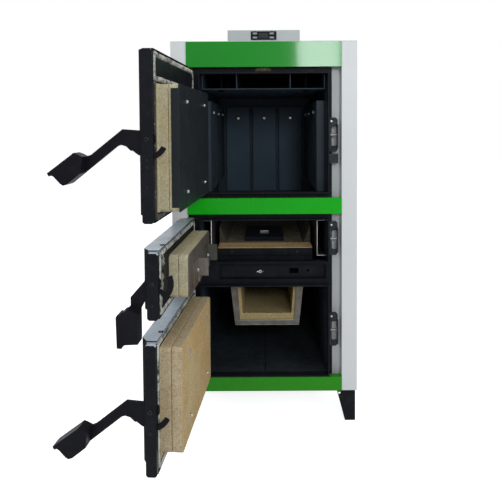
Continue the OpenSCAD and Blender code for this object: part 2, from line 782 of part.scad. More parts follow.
// Rear: fire tubes, flue box with its spigot, fan and water sockets
flue_box_x = 0;
flue_box_h = 330;
flue_down = 400;
flue_box_z = casing_top_z - flue_down;
flue_box_out = 70;
flue_t = 3;
spigot_l = 60;
flue_up = 100;
fan_up = 250;
fan_shaft_r = 4;
flue_y = shell_back_y + seat;
flue_wall_y = rear_y + flue_box_out;
socket_wall = 5;
socket_out = 35;
socket_l = 110;
socket_side = 115;
socket_x = casing_w / 2 - socket_side;
socket_room = 55;
flue_box_w = 2 * (socket_x - socket_room);
socket_down = 130;
socket_up = 150;
socket_zs = [casing_top_z - socket_down, leg_h + socket_up];
sockets = [for (z = socket_zs, s = [-1, 1]) [s * socket_x, z]];
module flue_box() {
  x0 = flue_box_x - flue_box_w / 2;
  x1 = flue_box_x + flue_box_w / 2;
  z1 = flue_box_z + flue_box_h;
  color("#1b1d1f") difference() {
    union() {
      difference() {
        span([x0, flue_y, flue_box_z], [x1, flue_wall_y, z1]);
        span([x0 + flue_t, flue_y + flue_t, flue_box_z + flue_t],
          [x1 - flue_t, flue_wall_y - flue_t, z1 - flue_t]);
      }
      rod([flue_box_x, flue_wall_y - flue_t, flue_box_z + flue_up], flue_r, spigot_l + flue_t,
        [0, 1, 0]);
    }
    rod([flue_box_x, flue_wall_y - flue_t - over, flue_box_z + flue_up], flue_r - flue_t,
      spigot_l + 2 * flue_t + over,
      [0, 1, 0]);
    rod([flue_box_x, flue_wall_y - flue_t - over, fan_z], fan_shaft_r + fan_slack, flue_t + 2 * over,
      [0, 1, 0]);
    smoke_port(flue_y, flue_t);
  }
}
fan_slack = 1;
smoke_port_w = 120;
module smoke_port(y, t) {
  z = flue_box_z + flue_up;
  span([flue_box_x - smoke_port_w / 2, y - over, z - smoke_port_w / 2],
    [flue_box_x + smoke_port_w / 2, y + t + over, z + smoke_port_w / 2]);
}

// Fan: a motor on the flue box's wall, turning an impeller inside the box
motor_r = 42;
motor_l = 70;
motor_bore_l = 40;
motor_flange_r = 56;
motor_flange_t = 5;
wheel_r = 34;
wheel_h = 26;
wheel_t = 2;
wheel_hub_r = 10;
wheel_gap = 8;
blade_count = 8;
fan_z = flue_box_z + fan_up;
module fan_motor() {
  color("#3c4144") difference() {
    union() {
      rod([flue_box_x, flue_wall_y + seat, fan_z], motor_flange_r, motor_flange_t, [0, 1, 0]);
      rod([flue_box_x, flue_wall_y + seat, fan_z], motor_r, motor_l, [0, 1, 0]);
    }
    rod([flue_box_x, flue_wall_y - over, fan_z], fan_shaft_r + fit, motor_bore_l + over, [0, 1, 0]);
  }
}
module fan_impeller() {
  y = flue_wall_y - flue_t - wheel_gap - wheel_h;
  color("#8d9294") {
    rod([flue_box_x, y, fan_z], fan_shaft_r, wheel_h + wheel_gap + flue_t + seat + motor_bore_l - over,
      [0, 1, 0]);
    rod([flue_box_x, y, fan_z], wheel_hub_r, wheel_h, [0, 1, 0]);
    rod([flue_box_x, y + wheel_h - wheel_t, fan_z], wheel_r, wheel_t, [0, 1, 0]);
    for (k = [0:blade_count - 1]) translate([flue_box_x, y, fan_z])
      rotate([0, k * 360 / blade_count, 0])
      span([wheel_hub_r - over, 0, -wheel_t / 2], [wheel_r - wheel_t, wheel_h, wheel_t / 2]);
  }
}

// Water sockets: threaded pipe ends that pass out through the rear panel
module water_sockets() {
  color("#7b5a3a") for (p = sockets) difference() {
    rod([p.x, shell_back_y + seat, p.y], socket_r + socket_wall, rear_y + socket_out - shell_back_y,
      [0, 1, 0]);
    rod([p.x, shell_back_y - over, p.y], socket_r, rear_y + socket_out - shell_back_y + 3 * over,
      [0, 1, 0]);
  }
}

// Fire tubes: upright tubes between the back wall and the shell
tube_r = 30;
tube_wall = 3;
tube_xs = [-90, 0, 90];
module fire_tubes() {
  y = (back_y + wall_t + shell_back_y - shell_t) / 2;
  color("#3a2c24") for (x = tube_xs) difference() {
    rod([x, y, floor_z], tube_r, roof_z - floor_z - seat);
    rod([x, y, floor_z - over], tube_r - tube_wall, roof_z - floor_z + 2 * over);
  }
}

// Hinges: a bracket on the frame with a pin that stands up through the door's knuckle
hinge_r = 6;
hinge_h = 18;
hinge_in = 34;
door_low = [low_z - door_lap, mid_z - door_lap, up_z - door_lap];
door_top = [low_top + door_lap, mid_top + door_lap, up_top + door_lap];
open_deg = [lower_open_deg, middle_open_deg, upper_open_deg];
function hinge_zs(i) = [door_low[i] + hinge_in, door_top[i] - hinge_in - 2 * hinge_h];
module hinge_brackets() {
  color("#202327") for (i = [0:2], z = hinge_zs(i)) {
    rod([hinge_x, hinge_y, z], hinge_r, hinge_h);
    rod([hinge_x, hinge_y, z + over], hinge_pin_r, 2 * hinge_h);
    span([hinge_x - hinge_r, hinge_y, z], [hinge_x, plate_y - seat, z + hinge_h]);
    span([shell_l + seat, plate_y - seat - hinge_foot, z], [hinge_x, plate_y - seat, z + hinge_h]);
  }
}
hinge_foot = 5;

// Places a door's own axes: along the door, towards the inside, and up
module on_door(i) {
  translate([hinge_x, hinge_y, 0]) rotate([0, 0, -open_deg[i]]) translate([0, face_n, 0]) children();
}

// Door pan: a pressed steel pan with a rope groove, a slot for the lever and two hinge knuckles
groove_w = rope_d + 2 * seat;
groove_wall = 2.5;
pan_sheet = 2.5;
end_plate = 5;
slot_up = 46;
slot_down = 62;
pan_edge = 4.5;
pan_end = 13;
rope_l = hinge_side - rim_t / 2;
rope_r = hinge_side + open_w + rim_t / 2;
pivot_zs = keeper_zs;
bolt_downs = [0, 50, 67, 112];
module ring(i, w) {
  difference() {
    translate([rope_l - w / 2, door_low[i] + door_lap - rim_t / 2 - w / 2])
      square([rope_r - rope_l + w, ring_h(i) + w]);
    translate([rope_l + w / 2, door_low[i] + door_lap - rim_t / 2 + w / 2])
      square([rope_r - rope_l - w, ring_h(i) - w]);
  }
}
function ring_h(i) = door_top[i] - door_low[i] - 2 * door_lap + rim_t;
module upright(h) { rotate([90, 0, 0]) linear_extrude(h) children(); }
recess_l = rope_l + groove_w / 2 + groove_wall;
recess_in = door_lap - rim_t / 2 + groove_w / 2 + groove_wall;
divider_up = 1;
divider_z = duct_z - rope_d / 2 + divider_up;
block_in = 23;
block_l = hinge_side + block_in;
block_ends = [36, 101, 46];
block_rs = [door_w - block_ends[0], door_w - block_ends[1], door_w - block_ends[2]];
block_ups = [23, 9, 9];
low_board_t = 27;
function board(i) = i == 0 ? low_board_t : board_t;
block_downs = [9, 18, 12];
block_low = [low_z + block_ups[0], mid_z + block_ups[1], up_z + block_ups[2]];
block_top = [low_top - block_downs[0], mid_top - block_downs[1], divider_z - block_downs[2]];
recess_step = 14;
function recess_left(i) = i == 1 ? block_l + recess_step : recess_l;
function recess_r(i) = i == 1 ? block_rs[1] - recess_step : rope_r - groove_w / 2 - groove_wall;
function recess_low(i) = i == 1 ? block_low[1] + recess_step : door_low[i] + recess_in;
function recess_top(i) = i == 2 ? divider_z - groove_w / 2 - groove_wall : i == 1 ? block_top[1] - recess_step
  : door_top[i] - recess_in;
module door_pan(i) {
  z0 = door_low[i];
  z1 = door_top[i];
  on_door(i) difference() {
    union() {
      span([door_start, -door_t, z0], [door_w - pan_end, 0, z1]);
      translate([door_w - pan_end - over, -door_t / 2, (z0 + z1) / 2]) rotate([90, 0, 90])
        linear_extrude(pan_end + over) chamfered(door_t, z1 - z0, pan_edge);
      for (z = hinge_zs(i)) {
        translate([0, -face_n, z + hinge_h + seat]) cylinder(r = hinge_r, h = hinge_h - seat);
        span([0, -face_n - hinge_r, z + hinge_h + seat], [door_start + over, -face_n, z + 2 * hinge_h]);
      }
    }
    translate([0, over, 0]) upright(rope_d - rope_proud + seat + over) ring(i, groove_w);
    span([recess_left(i), -door_t + pan_sheet, recess_low(i)], [recess_r(i), over, recess_top(i)]);
    if (i == 2) span([rope_l, -rope_d + rope_proud - seat, divider_z - groove_w / 2],
      [rope_r, over, divider_z + groove_w / 2]);
    span([lever_t0 - seat, -door_t - over, pivot_zs[i] - slot_down],
      [door_w - end_plate, over, pivot_zs[i] + slot_up]);
    for (z = hinge_zs(i)) rod([0, -face_n, z], hinge_pin_r + fit, 3 * hinge_h);
    rod([lever_t0 - pivot_l, pivot_n, pivot_zs[i]], pivot_r + fit,
      pivot_l + 2 * end_plate + lever_t + over, [1, 0, 0]);
  }
}
pivot_r = 5;
pivot_l = 3;
module upper_door() { color("#17191b") door_pan(2); }
module middle_door() { color("#17191b") door_pan(1); }
module lower_door() { color("#17191b") door_pan(0); }

// Door cover: a glossy outer shell that also laps over the pan's top, cut off before the lever
cover_sheet = 2;
cover_gap_t = 1;
cover_end = 20;
cover_lip = 2;
cover_bevel = 22;
cover_low_up = 14;
module cover_outline(inset) {
  x0 = door_start + inset;
  x1 = door_w - cover_end - inset;
  y0 = -door_t - cover_t + inset;
  polygon([[x0, -cover_lip], [x0, -door_t], [x0 + cover_bevel, y0], [x1 - cover_bevel, y0], [x1, -door_t],
    [x1, -cover_lip]]);
}
module door_cover(i) {
  z0 = door_low[i] + cover_low_up;
  z1 = door_top[i] + cover_gap_t + cover_sheet;
  on_door(i) difference() {
    translate([0, 0, z0]) linear_extrude(z1 - z0) cover_outline(0);
    translate([0, 0, z0 + cover_sheet]) linear_extrude(z1 - z0 - 2 * cover_sheet) cover_outline(cover_sheet);
    span([door_start - over, -door_t - seat, z0 - over],
      [door_w - cover_end + over, -cover_lip + over, door_top[i] + cover_gap_t]);
  }
}
module upper_cover() { color("#121416") door_cover(2); }
module middle_cover() { color("#121416") door_cover(1); }
module lower_cover() { color("#121416") door_cover(0); }

// Seal rope: a square-packed rope in the pan's groove
module door_rope(i) {
  on_door(i) translate([0, rope_proud, 0]) upright(rope_d) ring(i, rope_d);
}
module upper_rope() {
  color("#cfcdc2") {
    door_rope(2);
    on_door(2) span([rope_l + rope_d / 2 + seat, rope_proud - rope_d, divider_z - rope_d / 2],
      [rope_r - rope_d / 2 - seat, rope_proud, divider_z + rope_d / 2]);
  }
}
module middle_rope() { color("#cfcdc2") door_rope(1); }
module lower_rope() { color("#cfcdc2") door_rope(0); }

// Insulating block: two boards, one on the other, let into the pan
block_bevel = 8;
module block(i) {
  on_door(i) {
    span([recess_left(i) + seat, -door_t + pan_sheet + seat, recess_low(i) + seat],
      [recess_r(i) - seat, i == 1 ? over : -seat, recess_top(i) - seat]);
    for (k = [0, 1]) translate([(block_l + block_rs[i]) / 2, (k + 1) * board(i),
      (block_low[i] + block_top[i]) / 2])
      upright(board(i) + (k == 0 ? (i == 1 ? -seat : 2 * seat) : -seat))
        chamfered(block_rs[i] - block_l, block_top[i] - block_low[i], block_bevel);
  }
}
module upper_block() { color("#a3926c") block(2); }
module middle_block() { color("#a3926c") block(1); }
module lower_block() { color("#a3926c") block(0); }

// Shield of the upper door: a steel plate over the block, folded back at both ends
shield_t = 2;
shield_lip = 18;
shield_notch = 11;
module upper_shield() {
  y1 = 2 * board_t + seat;
  z0 = block_low[2];
  z1 = block_top[2];
  color("#24282a") on_door(2) {
    span([block_l - shield_t - seat, y1, z0], [block_rs[2] + shield_t + seat, y1 + shield_t, z1]);
    for (x = [block_l - shield_t - seat, block_rs[2] + seat])
      span([x, y1 - shield_lip, z0 + shield_notch], [x + shield_t, y1 + over, z1 - shield_notch]);
  }
}

// Face plate of the middle door, with two angle brackets
angle_d = 31;
angle_foot_d = 8;
angle_w = 52;
angle_t = 3;
angle_ts = [226, 66];
angle_low = 10;
angle_step = 26;
angle_high = 34;
angle_slot_w = 6;
angle_slot_h = 14;
angle_slot_up = 20;
module middle_face() {
  y1 = 2 * board_t + seat;
  z0 = block_low[1] + angle_low;
  z1 = block_top[1] - angle_high;
  color("#4a4b48") on_door(1) {
    translate([(block_l + block_rs[1]) / 2, y1 + shield_t, (block_low[1] + block_top[1]) / 2])
      upright(shield_t) chamfered(block_rs[1] - block_l, block_top[1] - block_low[1], block_bevel);
    for (t = angle_ts) {
      x = hinge_side + t;
      difference() {
        span([x, y1, z0], [x + angle_w, y1 + shield_t + angle_t, z1]);
        for (s = [-1, 1]) translate([x + angle_w / 2, y1 - over, (z0 + z1) / 2 + s * angle_slot_up])
          rotate([-90, 0, 0])
          hull() for (k = [-1, 1]) translate([0, k * (angle_slot_h - angle_slot_w) / 2, 0])
            cylinder(r = angle_slot_w / 2, h = shield_t + angle_t + 2 * over);
      }
      span([x, y1, z0], [x + angle_t, y1 + shield_t + angle_foot_d, z1]);
      span([x, y1, z0 + angle_step - angle_low], [x + angle_t, y1 + shield_t + angle_d, z1]);
    }
  }
}

// Bolts of a door: the lever's pivot, the end plate's screws and the block's bolts
module end_bolt(i, down) {
  translate([door_w + seat, pivot_n, pivot_zs[i] - down]) rotate([0, 90, 0])
    cylinder(r = bolt_r, h = bolt_head / 2, $fn = 6);
}
module pivot_bolt(i) {
  rod([lever_t0 - pivot_l, pivot_n, pivot_zs[i]], pivot_r, pivot_l + lever_t + end_plate + 2 * seat,
    [1, 0, 0]);
  end_bolt(i, 0);
}
module inner_bolt(p) {
  translate([p.x, p.y + seat, p.z]) rotate([-90, 0, 0]) cylinder(r = bolt_r, h = bolt_head, $fn = 6);
}
module block_bolts(i, y, z_in) {
  for (t = block_bolt_ts, z = [block_low[i] + z_in, block_top[i] - z_in])
    inner_bolt([t, y, z]);
}
block_bolt_in = 87;
block_bolt_end = 125;
block_bolt_ts = [hinge_side + block_bolt_in, door_w - block_bolt_end];
upper_bolt_in = 40;
lower_bolt_in = 48;
module upper_bolts() {
  color("#c4c8cb") on_door(2) {
    pivot_bolt(2);
    for (k = [1:3]) end_bolt(2, bolt_downs[k]);
    block_bolts(2, 2 * board_t + seat + shield_t, upper_bolt_in);
  }
}
module middle_bolts() {
  color("#c4c8cb") on_door(1) {
    pivot_bolt(1);
    end_bolt(1, bolt_downs[1]);
    for (t = angle_ts) inner_bolt([hinge_side + t + angle_w / 4,
      2 * board_t + seat + shield_t + angle_t,
      (block_low[1] + block_top[1]) / 2 - angle_low]);
  }
}
module lower_bolts() {
  color("#c4c8cb") on_door(0) {
    pivot_bolt(0);
    end_bolt(0, bolt_downs[1]);
    block_bolts(0, 2 * board(0), lower_bolt_in);
  }
}

// Levers: a flat plate with a hub, a hook for the keeper's pin and a hollow grip
// The outlines are shares of the lever's length; the long lever is drawn raised, the short one hanging
long_shares = [
  [0, 0], [-0.025, 0.087], [-0.09, 0.086], [-0.245, 0.097], [-0.558, -0.148], [-0.598, -0.164],
  [-0.65, -0.138], [-0.685, -0.126], [-0.713, -0.148], [-0.95, -0.322], [-0.931, -0.351],
  [-0.907, -0.341], [-0.883, -0.356], [-0.82, -0.423], [-0.791, -0.44], [-0.752, -0.428],
  [-0.293, -0.066], [-0.259, -0.056], [-0.211, -0.07], [-0.163, -0.114], [-0.148, -0.111],
  [-0.085, -0.158], [-0.025, -0.15]];
long_grip_shares = [
  [-0.598, -0.164], [-0.65, -0.138], [-0.685, -0.126], [-0.713, -0.148], [-0.95, -0.322],
  [-0.931, -0.351], [-0.907, -0.341], [-0.883, -0.356], [-0.82, -0.423], [-0.791, -0.44],
  [-0.752, -0.428], [-0.617, -0.322]];
short_shares = [
  [0, 0], [-0.06, 0.052], [-0.22, -0.13], [-0.22, -0.209], [-0.242, -0.235], [-0.268, -0.242],
  [-0.29, -0.272], [-0.316, -0.268], [-0.331, -0.29], [-0.324, -0.592], [-0.278, -0.594],
  [-0.26, -0.565], [-0.242, -0.558], [-0.119, -0.551], [-0.117, -0.499], [-0.117, -0.239],
  [-0.058, -0.133]];
short_grip_shares = [
  [-0.22, -0.209], [-0.242, -0.235], [-0.268, -0.242], [-0.29, -0.272], [-0.316, -0.268],
  [-0.331, -0.29], [-0.324, -0.592], [-0.278, -0.594], [-0.26, -0.565], [-0.242, -0.558],
  [-0.119, -0.551], [-0.117, -0.499], [-0.117, -0.258]];
drawn_deg = 51;
hub_r = 21;
hub_turn = 22.5;
hook_r = 49;
hook_w = 12.5;
hook_from = -95;
hook_to = -27;
hook_root = 9;
grip_w = 34;
grip_wall = 4;
lever_bore = 0.06;
module sector(r, a0, a1) {
  polygon([[0, 0], for (k = [0:sector_steps]) [r * cos(a0 + (a1 - a0) * k / sector_steps),
    r * sin(a0 + (a1 - a0) * k / sector_steps)]]);
}
sector_steps = 12;
module hook_outline() {
  sector(hook_r, hook_from - hook_root, hook_from + hook_root);
  difference() {
    sector(hook_r, hook_from, hook_to);
    circle(r = hook_r - hook_w);
  }
}
module lever_solid(outline, grip, turn) {
  linear_extrude(lever_t) {
    polygon(outline);
    rotate([0, 0, hub_turn]) circle(r = hub_r, $fn = 8);
    rotate([0, 0, turn]) hook_outline();
  }
  linear_extrude(grip_w) polygon(grip);
}
module lever(i, outline, grip, hook_turn, turn) {
  on_door(i) translate([lever_t0, pivot_n, pivot_zs[i]]) rotate([0, 0, 90]) rotate([90, 0, 0])
    rotate([0, 0, turn]) difference() {
      lever_solid(outline, grip, hook_turn);
      translate([0, 0, -over]) cylinder(r = pivot_r + lever_bore, h = lever_t + 2 * over);
      translate([0, 0, -over]) linear_extrude(grip_w - grip_wall + over) offset(delta = -grip_wall)
        polygon(grip);
    }
}
module long_lever(i) {
  color("#141517") lever(i, lever_len * long_shares, lever_len * long_grip_shares, 0,
    drawn_deg - raised_deg);
}
module upper_lever() { long_lever(2); }
module middle_lever() {
  color("#141517") lever(1, lever_len * short_shares, lever_len * short_grip_shares, drawn_deg, 0);
}
module lower_lever() { long_lever(0); }

legs();
outer_shell();
inner_shell();
front_frame();
casing_left();
casing_right();
casing_top();
rear_panel();
top_strip();
middle_strip();
bottom_strip();
insulation();
control_box();
display();
button_1();
button_2();
button_3();
button_4();
smoke_channel();
liner_plates();
body_bolts();
refractory_floor();
nozzle();
sill_board();
sill_plate();
air_channels();
air_panel();
wing_nut();
flame_channel();
flame_frame();
floor_plates();
keepers();
keeper_pins();
door_switch();
hinge_brackets();
flue_box();
fan_motor();
fan_impeller();
water_sockets();
fire_tubes();
upper_door();
upper_cover();
upper_rope();
upper_block();
upper_shield();
upper_bolts();
upper_lever();
middle_door();
middle_cover();
middle_rope();
middle_block();
middle_face();
middle_bolts();
middle_lever();
lower_door();
lower_cover();
lower_rope();
lower_block();
lower_bolts();
lower_lever();
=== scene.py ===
import json
import math
import random

import bmesh
import bpy
from mathutils import Matrix, Vector, noise


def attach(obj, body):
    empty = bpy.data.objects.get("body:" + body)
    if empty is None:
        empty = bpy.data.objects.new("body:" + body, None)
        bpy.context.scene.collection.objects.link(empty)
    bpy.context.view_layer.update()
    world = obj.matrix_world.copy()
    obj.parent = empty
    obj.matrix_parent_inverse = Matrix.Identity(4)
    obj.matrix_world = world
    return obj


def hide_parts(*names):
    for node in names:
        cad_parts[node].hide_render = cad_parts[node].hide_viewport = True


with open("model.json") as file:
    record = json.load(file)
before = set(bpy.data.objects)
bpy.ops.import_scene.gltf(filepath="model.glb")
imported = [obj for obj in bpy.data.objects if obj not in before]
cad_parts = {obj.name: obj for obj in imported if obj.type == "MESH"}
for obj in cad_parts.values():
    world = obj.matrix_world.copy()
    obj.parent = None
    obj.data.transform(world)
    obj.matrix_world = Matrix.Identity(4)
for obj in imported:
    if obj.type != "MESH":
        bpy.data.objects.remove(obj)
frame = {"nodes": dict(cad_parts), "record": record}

bpy.context.scene.view_settings.view_transform = "Standard"
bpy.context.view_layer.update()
rng = random.Random(7)
MM = 0.001


def cad_box(node):
    """The lowest and the highest corner of a CAD node, in metres."""
    o = frame["nodes"][node]
    points = [o.matrix_world @ v.co for v in o.data.vertices]
    return [Vector((pick(p[i] for p in points) for i in range(3))) for pick in (min, max)]


# Camera: fitted to the photograph, in pixels of a square picture, and placed in metres
PICTURE = 500
FOCAL = 509.26
CENTRE_X, CENTRE_Y = 266.2, 144.43
PITCH, ROLL = math.radians(-2.01), math.radians(-0.31)
SENSOR = 36
FRONT = cad_box("casing_left")[0].y
CAMERA_AT = Vector((0.00627, FRONT - 1.6431, 0.9696))
FARTHEST = 50

# Light and floor
WHITE = (1, 1, 1)
SOFT_LIGHT, SOFT_TINT = 0.42, (0.93, 0.96, 1)
FLOOR_REACH = 12
FLOOR_GREY = 0.8


def in_scene(o):
    bpy.context.scene.collection.objects.link(o)
    return o


def make_camera():
    """The photograph's fitted camera."""
    ahead = Vector((0, math.cos(PITCH), math.sin(PITCH)))
    level, steep = Vector((1, 0, 0)), Vector((0, -math.sin(PITCH), math.cos(PITCH)))
    right = level * math.cos(ROLL) + steep * math.sin(ROLL)
    up = steep * math.cos(ROLL) - level * math.sin(ROLL)
    data = bpy.data.cameras.new("camera")
    data.sensor_width = SENSOR
    data.lens = FOCAL / PICTURE * SENSOR
    data.shift_x = (PICTURE / 2 - CENTRE_X) / PICTURE
    data.shift_y = (CENTRE_Y - PICTURE / 2) / PICTURE
    data.clip_end = FARTHEST
    camera = in_scene(bpy.data.objects.new("camera", data))
    place = Matrix((right, up, -ahead)).transposed().to_4x4()
    place.translation = CAMERA_AT
    camera.matrix_world = place
    bpy.context.scene.camera = camera


def lamp(name, at, towards, size, power, colour=WHITE):
    data = bpy.data.lights.new(name, "AREA")
    data.shape = "RECTANGLE"
    data.size, data.size_y = size
    data.energy = power
    data.color = colour
    o = in_scene(bpy.data.objects.new(name, data))
    o.location = at
    o.rotation_euler = (Vector(towards) - Vector(at)).to_track_quat("-Z", "Y").to_euler()


def seen_directly(tree):
    """1 for rays that show the background: from the camera, through glass or off a mirror."""
    path = tree.nodes.new("ShaderNodeLightPath")
    out = path.outputs["Is Camera Ray"]
    for kind in ("Is Transmission Ray", "Is Glossy Ray"):
        either = tree.nodes.new("ShaderNodeMath")
        either.operation = "MAXIMUM"
        tree.links.new(out, either.inputs[0])
        tree.links.new(path.outputs[kind], either.inputs[1])
        out = either.outputs[0]
    return out


def background(tree, colour, strength):
    node = tree.nodes.new("ShaderNodeBackground")
    node.inputs["Color"].default_value = (*colour, 1)
    node.inputs["Strength"].default_value = strength
    return node.outputs[0]


def make_world():
    """Soft light on the object, and plain white where the background is seen."""
    world = bpy.data.worlds.new("studio")
    bpy.context.scene.world = world
    world.use_nodes = True
    tree = world.node_tree
    tree.nodes.clear()
    out = tree.nodes.new("ShaderNodeOutputWorld")
    mix = tree.nodes.new("ShaderNodeMixShader")
    tree.links.new(seen_directly(tree), mix.inputs[0])
    tree.links.new(background(tree, SOFT_TINT, SOFT_LIGHT), mix.inputs[1])
    tree.links.new(background(tree, WHITE, 1), mix.inputs[2])
    tree.links.new(mix.outputs[0], out.inputs[0])


def make_floor():
    """A pale floor that keeps the object's shadow and is white where it is seen directly."""
    bm = bmesh.new()
    bmesh.ops.create_grid(bm, x_segments=1, y_segments=1, size=FLOOR_REACH)
    mesh = bpy.data.meshes.new("floor")
    bm.to_mesh(mesh)
    bm.free()
    floor = in_scene(bpy.data.objects.new("floor", mesh))
    material = bpy.data.materials.new("floor")
    material.use_nodes = True
    tree = material.node_tree
    tree.nodes.clear()
    out = tree.nodes.new("ShaderNodeOutputMaterial")
    diffuse = tree.nodes.new("ShaderNodeBsdfDiffuse")
    diffuse.inputs["Color"].default_value = (FLOOR_GREY, FLOOR_GREY, FLOOR_GREY, 1)
    glow = tree.nodes.new("ShaderNodeEmission")
    glow.inputs["Strength"].default_value = FLOOR_GREY
    dark = tree.nodes.new("ShaderNodeEmission")
    dark.inputs["Strength"].default_value = 0
    mix = tree.nodes.new("ShaderNodeMixShader")
    both = tree.nodes.new("ShaderNodeAddShader")
    tree.links.new(seen_directly(tree), mix.inputs[0])
    tree.links.new(dark.outputs[0], mix.inputs[1])
    tree.links.new(glow.outputs[0], mix.inputs[2])
    tree.links.new(diffuse.outputs[0], both.inputs[0])
    tree.links.new(mix.outputs[0], both.inputs[1])
    tree.links.new(both.outputs[0], out.inputs[0])
    mesh.materials.append(material)


# Materials
class Nodes:
    """Short forms for building a material's nodes round one Principled shader."""

    def __init__(self, name):
        self.material = bpy.data.materials.new(name)
        self.material.use_nodes = True
        self.tree = self.material.node_tree
        self.tree.nodes.clear()
        out = self.add("OutputMaterial")
        self.shader = self.add("BsdfPrincipled")
        self.link(self.shader.outputs[0], out.inputs[0])
        self.place = self.add("TexCoord").outputs["Object"]

    def add(self, kind, **values):
        node = self.tree.nodes.new("ShaderNode" + kind)
        for key, value in values.items():
            setattr(node, key, value)
        return node

    def link(self, out, socket):
        self.tree.links.new(out, socket)

    def feed(self, socket, value):
        """Sets a number or a colour on a socket, or links an output to it."""
        if isinstance(value, (int, float)):
            socket.default_value = value
        elif isinstance(value, tuple):
            socket.default_value = (*value, 1)
        else:
            self.link(value, socket)

    def noise(self, scale, detail=3.0, rough=0.55, distort=0.0, stretch=None):
        node = self.add("TexNoise")
        node.inputs["Scale"].default_value = scale
        node.inputs["Detail"].default_value = detail
        node.inputs["Roughness"].default_value = rough
        node.inputs["Distortion"].default_value = distort
        place = self.place
        if stretch:
            mapping = self.add("Mapping")
            mapping.inputs["Scale"].default_value = stretch
            self.link(place, mapping.inputs["Vector"])
            place = mapping.outputs[0]
        self.link(place, node.inputs["Vector"])
        return node.outputs["Fac"]

    def cells(self, scale):
        node = self.add("TexVoronoi")
        node.inputs["Scale"].default_value = scale
        self.link(self.place, node.inputs["Vector"])
        return node.outputs

    def ramp(self, fac, stops):
        node = self.add("ValToRGB")
        elements = node.color_ramp.elements
        while len(elements) < len(stops):
            elements.new(0.5)
        for element, (position, colour) in zip(elements, stops):
            element.position = position
            element.color = (*colour, 1)
        self.link(fac, node.inputs[0])
        return node.outputs[0]

    def span(self, fac, old, new):
        """Maps the range old of fac to the range new."""
        node = self.add("MapRange")
        for socket, value in zip(list(node.inputs)[1:5], (*old, *new)):
            socket.default_value = value
        self.link(fac, node.inputs[0])
        return node.outputs[0]

    def mix(self, fac, a, b, blend="MIX"):
        node = self.add("MixRGB", blend_type=blend)
        for socket, value in zip(node.inputs, (fac, a, b)):
            self.feed(socket, value)
        return node.outputs[0]

    def math(self, operation, a, b):
        node = self.add("Math", operation=operation)
        for socket, value in zip(node.inputs, (a, b)):
            self.feed(socket, value)
        return node.outputs[0]

    def bump(self, height, strength, distance):
        node = self.add("Bump")
        node.inputs["Strength"].default_value = strength
        node.inputs["Distance"].default_value = distance
        self.link(height, node.inputs["Height"])
        self.link(node.outputs[0], self.shader.inputs["Normal"])

    def set(self, **values):
        """Feeds the shader's sockets, named with _ for a space."""
        for key, value in values.items():
            self.feed(self.shader.inputs[key.replace("_", " ")], value)


def shade(colour, k):
    return tuple(min(1, x * k) for x in colour)


def paint(name, colour, rough=0.4, spread=0.12, peel=0.05, dust=None, scuff=0.0, scale=9, coat=0.0,
          peel_scale=700, spec=0.05, ior=1.5):
    """Sprayed or baked paint: cloudy tone, orange peel, optional dust (colour, amount) and scuffs."""
    n = Nodes(name)
    cloud = n.noise(scale, detail=5, rough=0.6)
    tone = n.ramp(cloud, [(0.25, shade(colour, 1 - spread)), (0.75, shade(colour, 1 + spread))])
    rub = n.noise(scale * 3, detail=4, rough=0.6)
    if dust:
        film = n.span(n.noise(scale * 5, detail=6, rough=0.7, distort=0.4), (0.48, 0.8), (0, dust[1]))
        tone = n.mix(film, tone, dust[0])
        speck = n.span(n.cells(scale * 45)["Distance"], (0.0, 0.12), (0.5, 0.0))
        where = n.span(cloud, (0.45, 0.7), (0, 0.8))
        tone = n.mix(n.math("MULTIPLY", speck, where), tone, dust[0])
    if scuff:
        stroke = n.noise(55, detail=4, rough=0.65, stretch=(1, 1, 14))
        tone = n.mix(n.span(stroke, (0.62, 0.74), (0, scuff)), tone, shade(colour, 2.4))
    n.set(Base_Color=tone, Roughness=n.span(rub, (0.3, 0.7), (rough * 0.8, min(1, rough * 1.25))),
          Specular_IOR_Level=spec, IOR=ior, Coat_Weight=coat, Coat_Roughness=0.08)
    n.bump(n.noise(peel_scale, detail=2, rough=0.5), peel, 0.4 * MM)
    return n.material


def painted_reflection_paint(name, near, far, y_near, y_far):
    """Painted reflection on an up-facing edge, pale at the free end, with painted shade darker towards the
    hinge, and blotches and specks.
    """
    n = Nodes(name)
    split = n.add("SeparateXYZ")
    n.link(n.place, split.inputs[0])
    tone = n.mix(n.span(split.outputs["Y"], (y_near, y_far), (0, 1)), near, far)
    tone = n.mix(n.span(n.noise(14, detail=5, rough=0.6), (0.4, 0.75), (0, 0.3)), tone, shade(near, 0.62))
    fine = n.noise(90, detail=5, rough=0.7, distort=0.5)
    tone = n.mix(n.span(fine, (0.55, 0.8), (0, 0.25)), tone, shade(near, 1.35))
    rough = n.span(n.noise(30, detail=4, rough=0.6), (0.3, 0.7), (0.22, 0.4))
    n.set(Base_Color=tone, Roughness=rough, Specular_IOR_Level=0.3)
    n.bump(n.noise(700, detail=2, rough=0.5), 0.04, 0.4 * MM)
    return n.material


